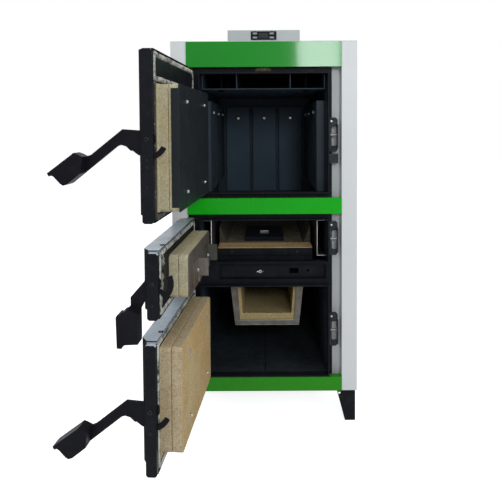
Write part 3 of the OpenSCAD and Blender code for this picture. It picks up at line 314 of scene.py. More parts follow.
def metal(name, colour, rough=0.35, grain=(1, 1, 30), tint=None, spread=0.15, grime=0.0):
    """Bare or plated steel with a drawn grain and faint heat or handling stains."""
    n = Nodes(name)
    stain = n.noise(22, detail=5, rough=0.65, distort=0.6)
    tone = n.ramp(stain, [(0.3, shade(colour, 1 - spread)), (0.7, shade(colour, 1 + spread))])
    if tint:
        heat = n.noise(13, detail=4, rough=0.6, distort=1.0)
        tone = n.mix(n.span(heat, (0.45, 0.7), (0, 0.75)), tone, tint)
    stroke = n.noise(180, detail=3, rough=0.6, stretch=grain)
    bare = 1.0
    if grime:
        dirt = n.span(n.noise(60, detail=6, rough=0.7, distort=0.8), (0.45, 0.7), (0, grime))
        tone = n.mix(dirt, tone, GRIME)
        bare = n.math("SUBTRACT", 1.0, dirt)
    n.set(Base_Color=tone, Metallic=bare, Roughness=n.span(stroke, (0.3, 0.7), (rough * 0.75, rough * 1.3)))
    n.bump(stroke, 0.12, 0.3 * MM)
    return n.material


def mineral(name, colour, warm, dark, light, flake=260, rough=0.92, bump=0.5, warmth=(0.4, 0.65)):
    """Pressed vermiculite or cast refractory: flakes, pores, stains and broad warmer areas."""
    n = Nodes(name)
    broad = n.noise(7, detail=5, rough=0.6, distort=0.6)
    base = n.mix(n.span(broad, warmth, (0, 1)), colour, warm)
    cell = n.cells(flake)
    flakes = n.ramp(cell["Color"], [(0.1, dark), (0.45, (0.5, 0.5, 0.5)), (0.92, light)])
    tone = n.mix(0.55, base, flakes, "SOFT_LIGHT")
    fine = n.noise(flake * 2.4, detail=5, rough=0.75)
    grains = n.ramp(fine, [(0.28, (0.3, 0.3, 0.3)), (0.72, (0.72, 0.72, 0.72))])
    tone = n.mix(0.75, tone, grains, "SOFT_LIGHT")
    stain = n.span(n.noise(26, detail=6, rough=0.7, distort=0.9), (0.5, 0.78), (0, 0.35))
    tone = n.mix(stain, tone, shade(dark, 1.1))
    solid = n.span(n.cells(flake * 0.5)["Distance"], (0.0, 0.2), (0.0, 1.0))
    pore = n.math("MULTIPLY", n.math("SUBTRACT", 1.0, solid), 0.6)
    tone = n.mix(pore, tone, shade(dark, 0.5))
    n.set(Base_Color=tone, Roughness=rough, Specular_IOR_Level=0.1)
    n.bump(n.mix(0.35, n.mix(0.5, fine, solid), cell["Distance"]), bump, 1.2 * MM)
    return n.material


def rope_mat(name, soot):
    """Braided ceramic fibre: white yarn darkened by soot in patches."""
    n = Nodes(name)
    yarn = n.noise(1100, detail=4, rough=0.7, distort=0.8)
    tone = n.ramp(yarn, [(0.25, (0.30, 0.30, 0.26)), (0.6, (0.55, 0.55, 0.49)), (0.85, (0.74, 0.74, 0.69))])
    patch = n.noise(32, detail=6, rough=0.7, distort=0.7)
    edge = 0.35 * soot
    tone = n.mix(n.span(patch, (0.62 - edge, 0.76 - edge), (0.06, 0.96)), tone, SOOT)
    n.set(Base_Color=tone, Roughness=0.95, Specular_IOR_Level=0.05, Sheen_Weight=0.15)
    n.bump(yarn, 0.6, 0.8 * MM)
    return n.material


BLACK = (0.0072, 0.0078, 0.0105)
DUST = (0.06, 0.06, 0.057)
BLUE_DUST = (0.05, 0.06, 0.07)
GRIME = (0.02, 0.02, 0.02)
SOOT = (0.016, 0.016, 0.015)

# One material for each slot of the record
MAT = {
    "casing": paint("casing_grey", (0.575, 0.59, 0.6), rough=0.42, spread=0.02, scale=3,
                    peel_scale=1400, spec=0.2),
    "strips": paint("strip_green", (0.006, 0.33, 0.008), rough=0.25, spread=0.04, peel=0.03, scale=4,
                    coat=0.1, peel_scale=900, spec=0.08),
    "frame": paint("frame_black", BLACK, rough=0.45, spread=0.25, peel=0.08, dust=(DUST, 0.12),
                   scuff=0.1, scale=7),
    "chamber": paint("chamber_black", (0.022, 0.033, 0.046), rough=0.5, spread=0.2, peel=0.1,
                     dust=(BLUE_DUST, 0.15), scuff=0.1, scale=6, spec=0.1),
    "covers": paint("cover_black", (0.0115, 0.008, 0.0068), rough=0.6, spread=0.2, dust=(DUST, 0.04),
                    scale=5, spec=0.04, ior=1.25),
    "levers": paint("lever_black", (0.0062, 0.0062, 0.0088), rough=0.42, spread=0.25, peel=0.1,
                    dust=(DUST, 0.08), scuff=0.2, scale=12),
    "keepers": paint("keeper_grey", (0.024, 0.029, 0.034), spread=0.15, peel=0.08,
                     dust=((0.2, 0.2, 0.2), 0.25), scuff=0.3, scale=14),
    "steel": metal("bare_steel", (0.145, 0.128, 0.115), rough=0.55, grain=(1, 1, 24),
                   tint=(0.1, 0.07, 0.05), spread=0.2, grime=0.35),
    "fixings": metal("zinc", (0.4, 0.42, 0.43), rough=0.34, grain=(1, 1, 1), grime=0.7),
    "board": mineral("vermiculite", (0.4, 0.365, 0.255), warm=(0.385, 0.315, 0.19),
                     dark=(0.13, 0.11, 0.07), light=(0.8, 0.78, 0.66), flake=480),
    "refractory": mineral("refractory", (0.1, 0.092, 0.072), warm=(0.16, 0.12, 0.07),
                          dark=(0.025, 0.022, 0.018), light=(0.75, 0.72, 0.62), flake=180, bump=0.6),
    "rope": rope_mat("rope_fibre", soot=0.45),
    "wool": mineral("mineral_wool", (0.16, 0.16, 0.12), warm=(0.2, 0.18, 0.11), dark=(0.07, 0.07, 0.05),
                    light=(0.7, 0.7, 0.6), flake=900, rough=0.95, bump=0.8),
    "controls": paint("control_grey", (0.365, 0.39, 0.395), rough=0.42, spread=0.03, peel=0.12, scale=5,
                      peel_scale=1600, spec=0.2),
    "screen": paint("screen_black", (0.0095, 0.0105, 0.0125), rough=0.5, spread=0.1, peel=0.01, scale=8,
                    peel_scale=900, spec=0.04),
    "keys": paint("key_grey", (0.24, 0.25, 0.26), rough=0.45, spread=0.05, peel=0.1, scale=30,
                  peel_scale=2000),
    "iron": paint("cast_black", (0.0065, 0.0088, 0.012), rough=0.5, spread=0.3, peel=0.5,
                  dust=((0.03, 0.03, 0.029), 0.35), scuff=0.1, scale=18, peel_scale=420),
    "pipe": metal("primed_pipe", (0.13, 0.1, 0.08), rough=0.55, grain=(1, 1, 1),
                  tint=(0.07, 0.04, 0.03)),
}

# Materials of single pieces, or of some of a piece's faces
TOP_GREEN = paint("strip_green_top", (0.0045, 0.205, 0.011), rough=0.32, spread=0.05, peel=0.03,
                  scale=3, coat=0.36, peel_scale=900, spec=0.04)
LOW_GREEN = paint("strip_green_low", (0.018, 0.215, 0.005), rough=0.28, spread=0.04, peel=0.03, scale=4,
                  coat=0.1, peel_scale=900, spec=0.08)
GLOSS = paint("gloss_black_top", (0.012, 0.014, 0.018), rough=0.14, spread=0.2, peel=0.02,
              dust=(DUST, 0.1), scale=5, coat=1.0, peel_scale=900, spec=0.5, ior=2.0)
# Painted reflection, pale, and painted shade towards the hinge, for the middle and lower doors' top faces
PAINTED_REFLECTION_TOP = painted_reflection_paint("painted_reflection_top", near=(0.46, 0.54, 0.62), far=(0.12, 0.135, 0.14), y_near=-0.7,
                     y_far=-0.49)
SHIELD = paint("shield_black", (0.013, 0.0155, 0.0185), rough=0.42, peel=0.07, dust=(BLUE_DUST, 0.06),
               scuff=0.12, scale=5, spec=0.08)
# The liner's back plates: a brighter copy of the liner paint, painted light for the chamber's depth
LIT_BACK_LINER = paint("back_liner_painted_light", (0.05, 0.075, 0.103), rough=0.45, peel=0.06, dust=(BLUE_DUST, 0.1),
                   scuff=0.05, scale=4, spec=0.06)
# The lower chamber's up-facing floor: darker than the chamber paint, with paler dust
FLOOR_DARK = paint("dark_floor_paint", (0.02, 0.026, 0.03), rough=0.7, spread=0.35, peel=0.3,
                   dust=((0.07, 0.078, 0.082), 0.3), scuff=0.2, peel_scale=500, spec=0.03)
STUD = paint("stud_black", (0.003, 0.0035, 0.0045), rough=0.6, spread=0.2, peel=0.1, scale=30,
             peel_scale=900, spec=0.02)
PIN_STEEL = metal("pin_steel", (0.26, 0.235, 0.225), rough=0.55, grain=(24, 1, 1),
                  tint=(0.16, 0.13, 0.115), grime=0.4)
GREY_BLOCK = mineral("greyed_board", (0.4, 0.33, 0.225), warm=(0.385, 0.3, 0.19),
                     dark=(0.13, 0.1, 0.06), light=(0.84, 0.8, 0.66), flake=400, bump=0.6)
FRAME_STEEL = metal("streaked_steel", (0.105, 0.098, 0.088), rough=0.6, grain=(26, 1, 1),
                    tint=(0.06, 0.042, 0.03), spread=0.3, grime=0.5)
CHANNEL_BOARD = mineral("fired_board", (0.33, 0.265, 0.14), warm=(0.3, 0.225, 0.11),
                        dark=(0.1, 0.075, 0.04), light=(0.78, 0.72, 0.56), flake=420,
                        warmth=(0.35, 0.6))
BRIGHT_EDGE = metal("channel_edge", (0.62, 0.62, 0.6), rough=0.55, grain=(1, 1, 18),
                    tint=(0.36, 0.29, 0.26), grime=0.15)
LINER = paint("liner_black", (0.028, 0.038, 0.049), rough=0.45, peel=0.06, dust=(BLUE_DUST, 0.1),
              scuff=0.05, scale=4, spec=0.1)
FAR_STEEL = metal("scaled_steel", (0.055, 0.056, 0.05), rough=0.6, grain=(1, 1, 1),
                  tint=(0.09, 0.075, 0.055), spread=0.35, grime=0.5)
PLATE_STEEL = metal("dull_plate", (0.085, 0.088, 0.082), rough=0.6, grain=(1, 18, 1),
                    tint=(0.06, 0.05, 0.04), spread=0.35, grime=0.5)
EDGE_STEEL = metal("cut_steel", (0.42, 0.43, 0.43), rough=0.45, grain=(1, 1, 18),
                   tint=(0.2, 0.15, 0.12), spread=0.2, grime=0.3)
WARM_BOARD = mineral("vermiculite_warm", (0.455, 0.355, 0.2), warm=(0.44, 0.305, 0.15),
                     dark=(0.13, 0.095, 0.05), light=(0.85, 0.8, 0.64), flake=430, bump=0.6,
                     warmth=(0.35, 0.6))
# The refractory's side banks and front faces, painted darker than the board
DARK_WALL = mineral("dark_bank_board", (0.045, 0.044, 0.038), warm=(0.065, 0.056, 0.042),
                    dark=(0.02, 0.02, 0.018), light=(0.7, 0.7, 0.65), flake=300)
SOOTY_ROPE = rope_mat("rope_sooty", soot=0.95)
BLACK_BOLT = paint("bolt_black", (0.006, 0.0063, 0.0075), rough=0.35, spread=0.3, peel=0.1,
                   dust=(DUST, 0.15), scuff=0.1, scale=60, peel_scale=900, spec=0.15)
GLASS = paint("display_glass", (0.012, 0.016, 0.02), rough=0.3, spread=0.05, peel=0.0, scale=40,
              coat=0.1, peel_scale=900, spec=0.08)
MARK = paint("display_mark", (0.1, 0.11, 0.12), rough=0.5, spread=0.1, peel=0.02, scale=90,
             peel_scale=900)

OWN = {
    "top_strip": TOP_GREEN, "bottom_strip": LOW_GREEN, "upper_shield": SHIELD, "liner_plates": LINER,
    "keeper_pins": PIN_STEEL, "air_channels": PLATE_STEEL, "flue_box": MAT["frame"],
    "flame_frame": FRAME_STEEL,
}
SLOT = {s["node"]: s["material_slot"] for s in frame["record"]["subparts"]}
BODY = {n: b for b, ns in frame["record"]["behaviour"]["bodies"].items() for n in ns}


def material_for(node):
    return OWN.get(node) or MAT[SLOT[node]]


def repaint(o, material, test):
    """Gives the faces that pass a test (on their centre and normal) another material."""
    o.data.materials.append(material)
    last = len(o.data.materials) - 1
    for face in o.data.polygons:
        if test(face.center, face.normal):
            face.material_index = last


# Pieces: lengths in metres, angles in degrees, and the scales of the boards' chips and grains
SEAM = 0.02 * MM
FLAT_ANGLE = 1.5
CORNER_ANGLE = 30
BOARD_CELL = 9 * MM
BOARD_FACES = 60000
BOARD_DEPTH = 0.5 * MM
CHIPS, GRAINS = 90, 260


def put(name, bm, material, body, smooth=True, angle=40):
    """Makes a piece from a bmesh, with its material and body."""
    mesh = bpy.data.meshes.new(name)
    bm.to_mesh(mesh)
    bm.free()
    o = in_scene(bpy.data.objects.new(name, mesh))
    mesh.materials.append(material)
    if smooth:
        for face in mesh.polygons:
            face.use_smooth = True
        mesh.set_sharp_from_angle(angle=math.radians(angle))
    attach(o, body)
    return o


def put_shown(node, bm, material, angle):
    """Puts a piece in the place of a CAD node."""
    o = put(node + "_shown", bm, material, BODY[node], True, angle)
    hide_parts(node)
    return o


def clean_copy(node):
    """The node's mesh with its seams closed and its flat faces joined."""
    bm = bmesh.new()
    bm.from_mesh(frame["nodes"][node].data)
    bmesh.ops.remove_doubles(bm, verts=bm.verts, dist=SEAM)
    bmesh.ops.dissolve_limit(bm, angle_limit=math.radians(FLAT_ANGLE), verts=bm.verts, edges=bm.edges)
    return bm


def round_edges(bm, width, segments=2):
    """Rounds every sharp edge by a width in mm."""
    limit = math.radians(CORNER_ANGLE)
    edges = [e for e in bm.edges if len(e.link_faces) == 2 and e.calc_face_angle(0) > limit]
    bmesh.ops.bevel(bm, geom=edges, offset=width * MM, offset_type="OFFSET", segments=segments,
                    profile=0.5, affect="EDGES", clamp_overlap=True, harden_normals=False)


def weigh_normals(o, angle=50):
    """Corner normals that follow the larger faces, so that flat sheet stays flat beside a rounded edge."""
    mesh = o.data
    around = [[] for _ in mesh.vertices]
    faces = [(p.normal.copy(), p.area) for p in mesh.polygons]
    for p in mesh.polygons:
        for v in p.vertices:
            around[v].append(p.index)
    limit = math.cos(math.radians(angle))
    out = []
    for p in mesh.polygons:
        own = faces[p.index][0]
        for v in p.vertices:
            total = Vector()
            for normal, area in (faces[q] for q in around[v]):
                if normal.dot(own) > limit:
                    total += normal * area
            out.append(total.normalized() if total.length > 0 else own)
    mesh.normals_split_custom_set(out)


def soften(node, width):
    """Replaces a node with the same shape with rounded edges, as folded or cut sheet has."""
    bm = clean_copy(node)
    round_edges(bm, width)
    o = put_shown(node, bm, material_for(node), 35)
    weigh_normals(o)
    return o


def rough_board(node, material, width):
    """A pressed board: crumbled edges and a slightly uneven face."""
    bm = clean_copy(node)
    round_edges(bm, width)
    bmesh.ops.triangulate(bm, faces=bm.faces)
    for _ in range(7):
        long = [e for e in bm.edges if e.calc_length() > BOARD_CELL]
        if not long or len(bm.faces) > BOARD_FACES:
            break
        bmesh.ops.subdivide_edges(bm, edges=long, cuts=1)
        bmesh.ops.triangulate(bm, faces=[f for f in bm.faces if len(f.verts) > 3])
    bm.normal_update()
    moves = []
    for v in bm.verts:
        turn = max((e.calc_face_angle(0) for e in v.link_edges if len(e.link_faces) == 2), default=0)
        chip = max(0, noise.noise(v.co * CHIPS) - 0.1) * 2.2 * min(1, turn / 0.6)
        fine = (noise.noise(v.co * GRAINS) - 0.3) * 0.35
        moves.append((v, v.normal * (fine - (chip + 0.25) * 1.6) * BOARD_DEPTH))
    for v, move in moves:
        v.co += move
    return put_shown(node, bm, material, 50)


# Doors: a point on a door is (along it, towards its inside, up), in metres
HINGE = Vector((-0.230, -0.487, 0))
FACE_N = 0.0068
OPEN = {"upper": 94, "middle": 93, "lower": 94}
DOOR_W = 0.460
DOOR_TOP = {door: cad_box(door + "_door")[1].z for door in OPEN}
PIVOT_Z = {"upper": 0.942, "middle": 0.603, "lower": 0.3005}
PIVOT_N = -0.014


def on_door(door):
    """The matrix that takes a point on a door to its place."""
    turn = Matrix.Rotation(math.radians(-OPEN[door]), 4, "Z")
    return Matrix.Translation(HINGE) @ turn @ Matrix.Translation((0, FACE_N, 0))


def facing(at, direction):
    """A matrix at a point with its own +Z along a direction."""
    m = Vector(direction).to_track_quat("Z", "Y").to_matrix().to_4x4()
    m.translation = Vector(at)
    return m


def ring(bm, m, r, z, n, six=False):
    """A ring of points, round or on a hexagon with the radius r to its corners."""
    out = []
    for k in range(n):
        a = 2 * math.pi * k / n
        q = r
        if six:
            q = r * math.cos(math.pi / 6) / math.cos((a % (math.pi / 3)) - math.pi / 6)
        out.append(bm.verts.new(m @ Vector((q * math.cos(a), q * math.sin(a), z))))
    return out


def stack(bm, rings):
    """Joins rings with faces and closes both ends."""
    for a, b in zip(rings, rings[1:]):
        for k in range(len(a)):
            j = (k + 1) % len(a)
            bm.faces.new((a[k], a[j], b[j], b[k]))
    bm.faces.new(rings[-1])
    bm.faces.new(list(reversed(rings[0])))


# Fastener sizes in metres
WASHER_T = 0.0008
LIFT = 0.0001
BLOCK_BOLT = {"r": 0.0041, "h": 0.0040, "washer": 0.0060}
FACE_BOLT = {"r": 0.0046, "h": 0.0042, "washer": 0.0066}
BACK_BOLT = {"r": 0.0044, "h": 0.0042, "washer": 0.0062}
SIDE_BOLT = {"r": 0.0058, "h": 0.0052, "washer": 0.0085}
STUD_NUT = {"r": 0.0078, "h": 0.0040, "washer": 0.0105}
SILL_BOLT = {"r": 0.0044, "h": 0.0036, "washer": 0.0062}
KEEPER_BOLT = {"r": 0.0037, "h": 0.0036, "washer": 0.0}
PIVOT_HEAD = {"r": 0.0062, "h": 0.0026}
END_HEAD = {"r": 0.0046, "h": 0.0021}
SCREW_HEAD = {"r": 0.0062, "h": 0.0018}
ROUND = 24
INWARD, ALONG, FORWARD, BACKWARD, UPWARD, DOWNWARD = (
    (0, 1, 0), (1, 0, 0), (0, -1, 0), (0, 1, 0), (0, 0, 1), (0, 0, -1))


def hex_bolt(bm, m, r, h, washer, turn=0.0):
    """A hexagon head with its crown chamfered, on a round washer."""
    m = m @ Matrix.Rotation(turn, 4, "Z")
    if washer:
        stack(bm, [ring(bm, m, washer, LIFT, ROUND), ring(bm, m, washer, WASHER_T * 0.8, ROUND),
                   ring(bm, m, washer * 0.95, WASHER_T, ROUND)])
    stack(bm, [ring(bm, m, r, WASHER_T, ROUND, True), ring(bm, m, r, h * 0.82, ROUND, True),
               ring(bm, m, r * 0.84, h, ROUND)])


def button_bolt(bm, m, r, h):
    """A domed head with a hexagon socket."""
    dome = [(1, 0), (1, 0.35), (0.9, 0.75), (0.6, 1)]
    socket = [(0.46, 1), (0.44, 0.2)]
    stack(bm, [ring(bm, m, r * wide, h * high, ROUND) for wide, high in dome]
          + [ring(bm, m, r * wide, h * high, ROUND, True) for wide, high in socket])


def shank(bm, m, r, length):
    stack(bm, [ring(bm, m, r, 0, 20), ring(bm, m, r, length, 20)])


# Where each door's silver bolts sit, and how far below the lever's pivot its end bolts are
BLOCK_BOLTS = {
    "upper": {"along": (0.108, 0.335), "heights": (0.805, 1.0332), "face": 0.0526, "size": BLOCK_BOLT},
    "middle": {"along": (0.260, 0.100), "heights": (0.5825,), "face": 0.0556, "size": FACE_BOLT},
    "lower": {"along": (0.108, 0.335), "heights": (0.225, 0.391), "face": 0.0541, "size": BLOCK_BOLT},
}
END_DOWNS = {"upper": (0.050, 0.067, 0.112), "middle": (0.050,), "lower": (0.050,)}
END_LIFT = 0.0002
PIN_FROM, PIN_R, PIN_L = 0.4456, 0.005, 0.0143


def door_bolts(door):
    """The silver bolts of a door's block or face plate, and the black ones in its free end."""
    m = on_door(door)
    row = BLOCK_BOLTS[door]
    bm = bmesh.new()
    for t in row["along"]:
        for z in row["heights"]:
            hex_bolt(bm, m @ facing((t, row["face"], z), INWARD), **row["size"], turn=rng.random())
    silver = put(door + "_bolts_shown", bm, MAT["fixings"], door + "_leaf")
    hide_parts(door + "_bolts")
    bm = bmesh.new()
    for down in (0, *END_DOWNS[door]):
        at = m @ facing((DOOR_W + END_LIFT, PIVOT_N, PIVOT_Z[door] - down), ALONG)
        button_bolt(bm, at, **(END_HEAD if down else PIVOT_HEAD))
    shank(bm, m @ facing((PIN_FROM, PIVOT_N, PIVOT_Z[door]), ALONG), PIN_R, PIN_L)
    put(door + "_end_bolts", bm, BLACK_BOLT, door + "_leaf")


# Fasteners of the body, in metres: across from the chamber's middle, except at the keepers
CHAMBER = cad_box("inner_shell")
MIDDLE_X = (CHAMBER[0].x + CHAMBER[1].x) / 2
SPACER_R = 0.007
BACK_PITCH, BACK_Z = 0.1155, 1.0074
BACK_HEAD_Y, BACK_SEAT_Y, BACK_SPACER_Y, BACK_SPACER_L = 0.1391, 0.1400, 0.1453, 0.0104
SEAT_R, SEAT_RIM, SEAT_T, SEAT_ROUND = 0.0115, 0.0108, 0.0007, 28
SIDE_X, SIDE_Z, SIDE_FROM = 0.178, 1.020, -0.400
SIDE_L, SIDE_GAP, SIDE_PLATES = 0.545, 0.006, 3
SIDE_SPACER_OUT, SIDE_SPACER_L = 0.0053, 0.0234
STUD_X, STUD_Y, STUD_Z, STUD_R, STUD_L, NUT_Z = 0.142, -0.400, 1.0874, 0.004, 0.064, 1.0915
SILL_X, SILL_Y, SILL_Z = 0.110, -0.4173, 0.546
KEEPER_X, KEEPER_Y, KEEPER_UP = 0.2185, -0.4596, 0.044


def back_bolts(bright, dark):
    for k in (-1, 0, 1):
        x = MIDDLE_X + k * BACK_PITCH
        hex_bolt(bright, facing((x, BACK_HEAD_Y, BACK_Z), FORWARD), **BACK_BOLT)
        shank(dark, facing((x, BACK_SPACER_Y, BACK_Z), BACKWARD), SPACER_R, BACK_SPACER_L)
        seat = facing((x, BACK_SEAT_Y, BACK_Z), FORWARD)
        stack(dark, [ring(dark, seat, SEAT_R, LIFT, SEAT_ROUND),
                     ring(dark, seat, SEAT_RIM, SEAT_T, SEAT_ROUND)])


def side_bolts(bright, dark, s):
    """The liner bolts of one side: s is -1 for the left and 1 for the right."""
    step = (SIDE_L - 2 * SIDE_GAP) / SIDE_PLATES
    x = MIDDLE_X + s * SIDE_X
    for i in range(SIDE_PLATES):
        y = SIDE_FROM + i * (step + SIDE_GAP) + step / 2
        hex_bolt(bright, facing((x - s * LIFT, y, SIDE_Z), (-s, 0, 0)), **SIDE_BOLT)
        shank(dark, facing((x + s * SIDE_SPACER_OUT, y, SIDE_Z), (s, 0, 0)), SPACER_R, SIDE_SPACER_L)


def body_bolts():
    """Liner, stud, keeper and sill bolts of the body."""
    bright, dark, studs = bmesh.new(), bmesh.new(), bmesh.new()
    back_bolts(bright, dark)
    for s in (-1, 1):
        side_bolts(bright, dark, s)
        shank(studs, facing((MIDDLE_X + s * STUD_X, STUD_Y, STUD_Z), UPWARD), STUD_R, STUD_L)
        hex_bolt(studs, facing((MIDDLE_X + s * STUD_X, STUD_Y, NUT_Z), DOWNWARD), **STUD_NUT)
        hex_bolt(dark, facing((MIDDLE_X + s * SILL_X, SILL_Y, SILL_Z), FORWARD), **SILL_BOLT)
        for z in PIVOT_Z.values():
            which = bright if s > 0 else dark
            hex_bolt(which, facing((KEEPER_X, KEEPER_Y, z + s * KEEPER_UP), FORWARD), **KEEPER_BOLT)
    o = put("body_bolts_shown", bright, MAT["fixings"], "boiler")
    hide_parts("body_bolts")
    put("body_bolts_dark", dark, BLACK_BOLT, "boiler")
    put("body_studs", studs, STUD, "boiler")


# Seal ropes: a packed, braided rope laid round each groove
ROPE_L, ROPE_R = 0.019, 0.437
GROOVE_HALF = 0.0075
DIVIDER, DIVIDER_INSET = 1.0852, 0.008
HIGH_END = DIVIDER - 0.006
LOW_END_NEAR, LOW_END_FAR = DIVIDER - 0.0065, DIVIDER - 0.001
ROPE_HALF, ROPE_SIDES, ROPE_STEP = 0.0066, 12, 0.003
ROPE_CORNER, TIGHT_CORNER, CORNER_STEPS = 0.012, 0.003, 8
ROPE_N, ROPE_TOP_N = -0.0048, 0.0019
BRAID, BRAID_PITCH = 0.00055, 620
LUMP = 0.0009
WANDER_ACROSS, WANDER_IN = 0.0011, 0.0009


def resample(pts, step=ROPE_STEP):
    """Evenly spaced points along a path."""
    total = [0.0]
    for a, b in zip(pts, pts[1:]):
        total.append(total[-1] + math.dist(a, b))
    n = max(2, int(total[-1] / step))
    out, j = [], 0
    for k in range(n + 1):
        d = total[-1] * k / n
        while j < len(pts) - 2 and total[j + 1] < d:
            j += 1
        f = (d - total[j]) / max(1e-9, total[j + 1] - total[j])
        out.append(tuple(pts[j][i] + f * (pts[j + 1][i] - pts[j][i]) for i in (0, 1)))
    return out


def rope_path(l, r, low, top, corner=ROPE_CORNER):
    """Points round a rounded rectangle, as (t, z)."""
    pts = []
    for cx, cz, a0 in ((r - corner, low + corner, -90), (r - corner, top - corner, 0),
                       (l + corner, top - corner, 90), (l + corner, low + corner, 180)):
        for k in range(CORNER_STEPS + 1):
            a = math.radians(a0 + k * 90 / CORNER_STEPS)
            pts.append((cx + corner * math.cos(a), cz + corner * math.sin(a)))
    pts.append(pts[0])
    return resample(pts)


def rope_ring(bm, door, at, side, s):
    """The section of the rope at a point, with its braid, its lumps and its wander."""
    m, height = on_door(door), PIVOT_Z[door]
    across = noise.noise(Vector((s * 9, 3, height))) * WANDER_ACROSS
    inwards = noise.noise(Vector((s * 11, 8, height))) * WANDER_IN
    new = []
    for j in range(ROPE_SIDES):
        t = 2 * math.pi * j / ROPE_SIDES
        c, q = math.cos(t), math.sin(t)
        r = ROPE_HALF / max(abs(c), abs(q)) ** 0.55
        r += BRAID * (math.sin(s * BRAID_PITCH + 2 * t) * math.sin(s * BRAID_PITCH - 2 * t))
        r += LUMP * noise.noise(Vector((s * 45, j * 0.7, height * 7)))
        u = c * r + across
        v = min(ROPE_N + q * r + inwards, ROPE_TOP_N)
        new.append(bm.verts.new(m @ Vector((at[0] + side.x * u, v, at[1] + side.y * u))))
    return new


def rope(bm, door, path, closed=False):
    """Sweeps the rope's section along a path on the door."""
    rings = []
    n = len(path) - (1 if closed else 0)
    for k in range(n):
        a, b = (k - 1) % n if closed else max(0, k - 1), (k + 1) % n if closed else min(n - 1, k + 1)
        d = Vector((path[b][0] - path[a][0], path[b][1] - path[a][1])).normalized()
        rings.append(rope_ring(bm, door, path[k], Vector((d.y, -d.x)), k * ROPE_STEP))
    for k in range(n if closed else n - 1):
        a, b = rings[k], rings[(k + 1) % n]
        for j in range(ROPE_SIDES):
            i = (j + 1) % ROPE_SIDES
            bm.faces.new((a[j], a[i], b[i], b[j]))
    if not closed:
        bm.faces.new(list(reversed(rings[0])))
        bm.faces.new(rings[-1])


def upper_ropes(low, top):
    """The upper door's rope in two tones, with the cross piece under its window."""
    bm = bmesh.new()
    near, far = ROPE_R - TIGHT_CORNER, ROPE_L + TIGHT_CORNER
    rope(bm, "upper", resample([(ROPE_L, DIVIDER), (ROPE_L, top - TIGHT_CORNER), (far, top), (near, top),
                                (ROPE_R, top - TIGHT_CORNER), (ROPE_R, HIGH_END)]))
    rope(bm, "upper", resample([(ROPE_L + DIVIDER_INSET, DIVIDER), (ROPE_R - DIVIDER_INSET, DIVIDER)]))
    o = put("upper_rope_shown", bm, MAT["rope"], "upper_leaf", True, 60)
    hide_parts("upper_rope")
    bm = bmesh.new()
    near, far = ROPE_R - ROPE_CORNER, ROPE_L + ROPE_CORNER
    rope(bm, "upper", resample([(ROPE_R, LOW_END_NEAR), (ROPE_R, low + ROPE_CORNER), (near, low),
                                (far, low), (ROPE_L, low + ROPE_CORNER), (ROPE_L, LOW_END_FAR)]))
    put("upper_rope_low", bm, SOOTY_ROPE, "upper_leaf", True, 60)


def seal_ropes():
    """The rope of each door, in the middle of its groove."""
    for door in OPEN:
        groove = cad_box(door + "_rope")
        low, top = groove[0].z + GROOVE_HALF, groove[1].z - GROOVE_HALF
        if door == "upper":
            upper_ropes(low, top)
            continue
        bm = bmesh.new()
        rope(bm, door, rope_path(ROPE_L, ROPE_R, low, top), closed=True)
        o = put(door + "_rope_shown", bm, MAT["rope"], door + "_leaf", True, 60)
        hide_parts(door + "_rope")


# Insulation: wool slabs round the shell, and the tuft that shows under the top strip, in metres
WOOL_LOW, WOOL_HIGH = cad_box("insulation")
SHELL_LEFT, SHELL_RIGHT = (corner.x for corner in cad_box("front_frame"))
WOOL_FRONT, WOOL_GAP = -0.409, 0.0003
TOP_WOOL_BACK, TOP_WOOL_FROM = 0.415, 1.2023
WOOL_SLABS = [
    ((WOOL_LOW.x, WOOL_FRONT, WOOL_LOW.z), (SHELL_LEFT - WOOL_GAP, WOOL_HIGH.y, WOOL_HIGH.z)),
    ((SHELL_RIGHT + WOOL_GAP, WOOL_FRONT, WOOL_LOW.z), WOOL_HIGH),
    ((SHELL_LEFT, WOOL_FRONT, TOP_WOOL_FROM), (SHELL_RIGHT, TOP_WOOL_BACK, WOOL_HIGH.z)),
]
WOOL_CELL, WOOL_SWELL = 0.05, 0.002
TUFT_FIBRES, TUFT_POINTS = 420, 7
TUFT_MID, TUFT_HALF = Vector((-0.003, -0.4623, 1.1538)), (0.024, 0.004, 0.0045)
TUFT_LOW, TUFT_HIGH = (-0.0298, -0.4690, 1.1470), (0.0238, -0.4556, 1.1608)
FIBRE_R, FIBRE_L = (0.00012, 0.0003), (0.004, 0.011)


def slab(bm, lo, hi):
    """A box of wool with slightly sunken, uneven faces."""
    lo, hi = Vector(lo), Vector(hi)
    n = [max(1, round((hi[i] - lo[i]) / WOOL_CELL)) for i in range(3)]
    keep = {}

    def vert(key):
        if key not in keep:
            p = Vector((lo[a] + (hi[a] - lo[a]) * key[a] / n[a] for a in range(3)))
            mid = (lo + hi) / 2
            for a in range(3):
                sink = 2 * WOOL_SWELL * (0.5 + 0.5 * noise.noise(p * 30))
                p[a] += (mid[a] - p[a]) / max(1e-6, hi[a] - lo[a]) * sink
            keep[key] = bm.verts.new(p)
        return keep[key]

    for a in range(3):
        b, c = (a + 1) % 3, (a + 2) % 3
        for end in (0, n[a]):
            for i in range(n[b]):
                for j in range(n[c]):
                    quad = []
                    for di, dj in ((0, 0), (1, 0), (1, 1), (0, 1)):
                        key = [0, 0, 0]
                        key[a], key[b], key[c] = end, i + di, j + dj
                        quad.append(vert(tuple(key)))
                    if end == 0:
                        quad.reverse()
                    bm.faces.new(quad)


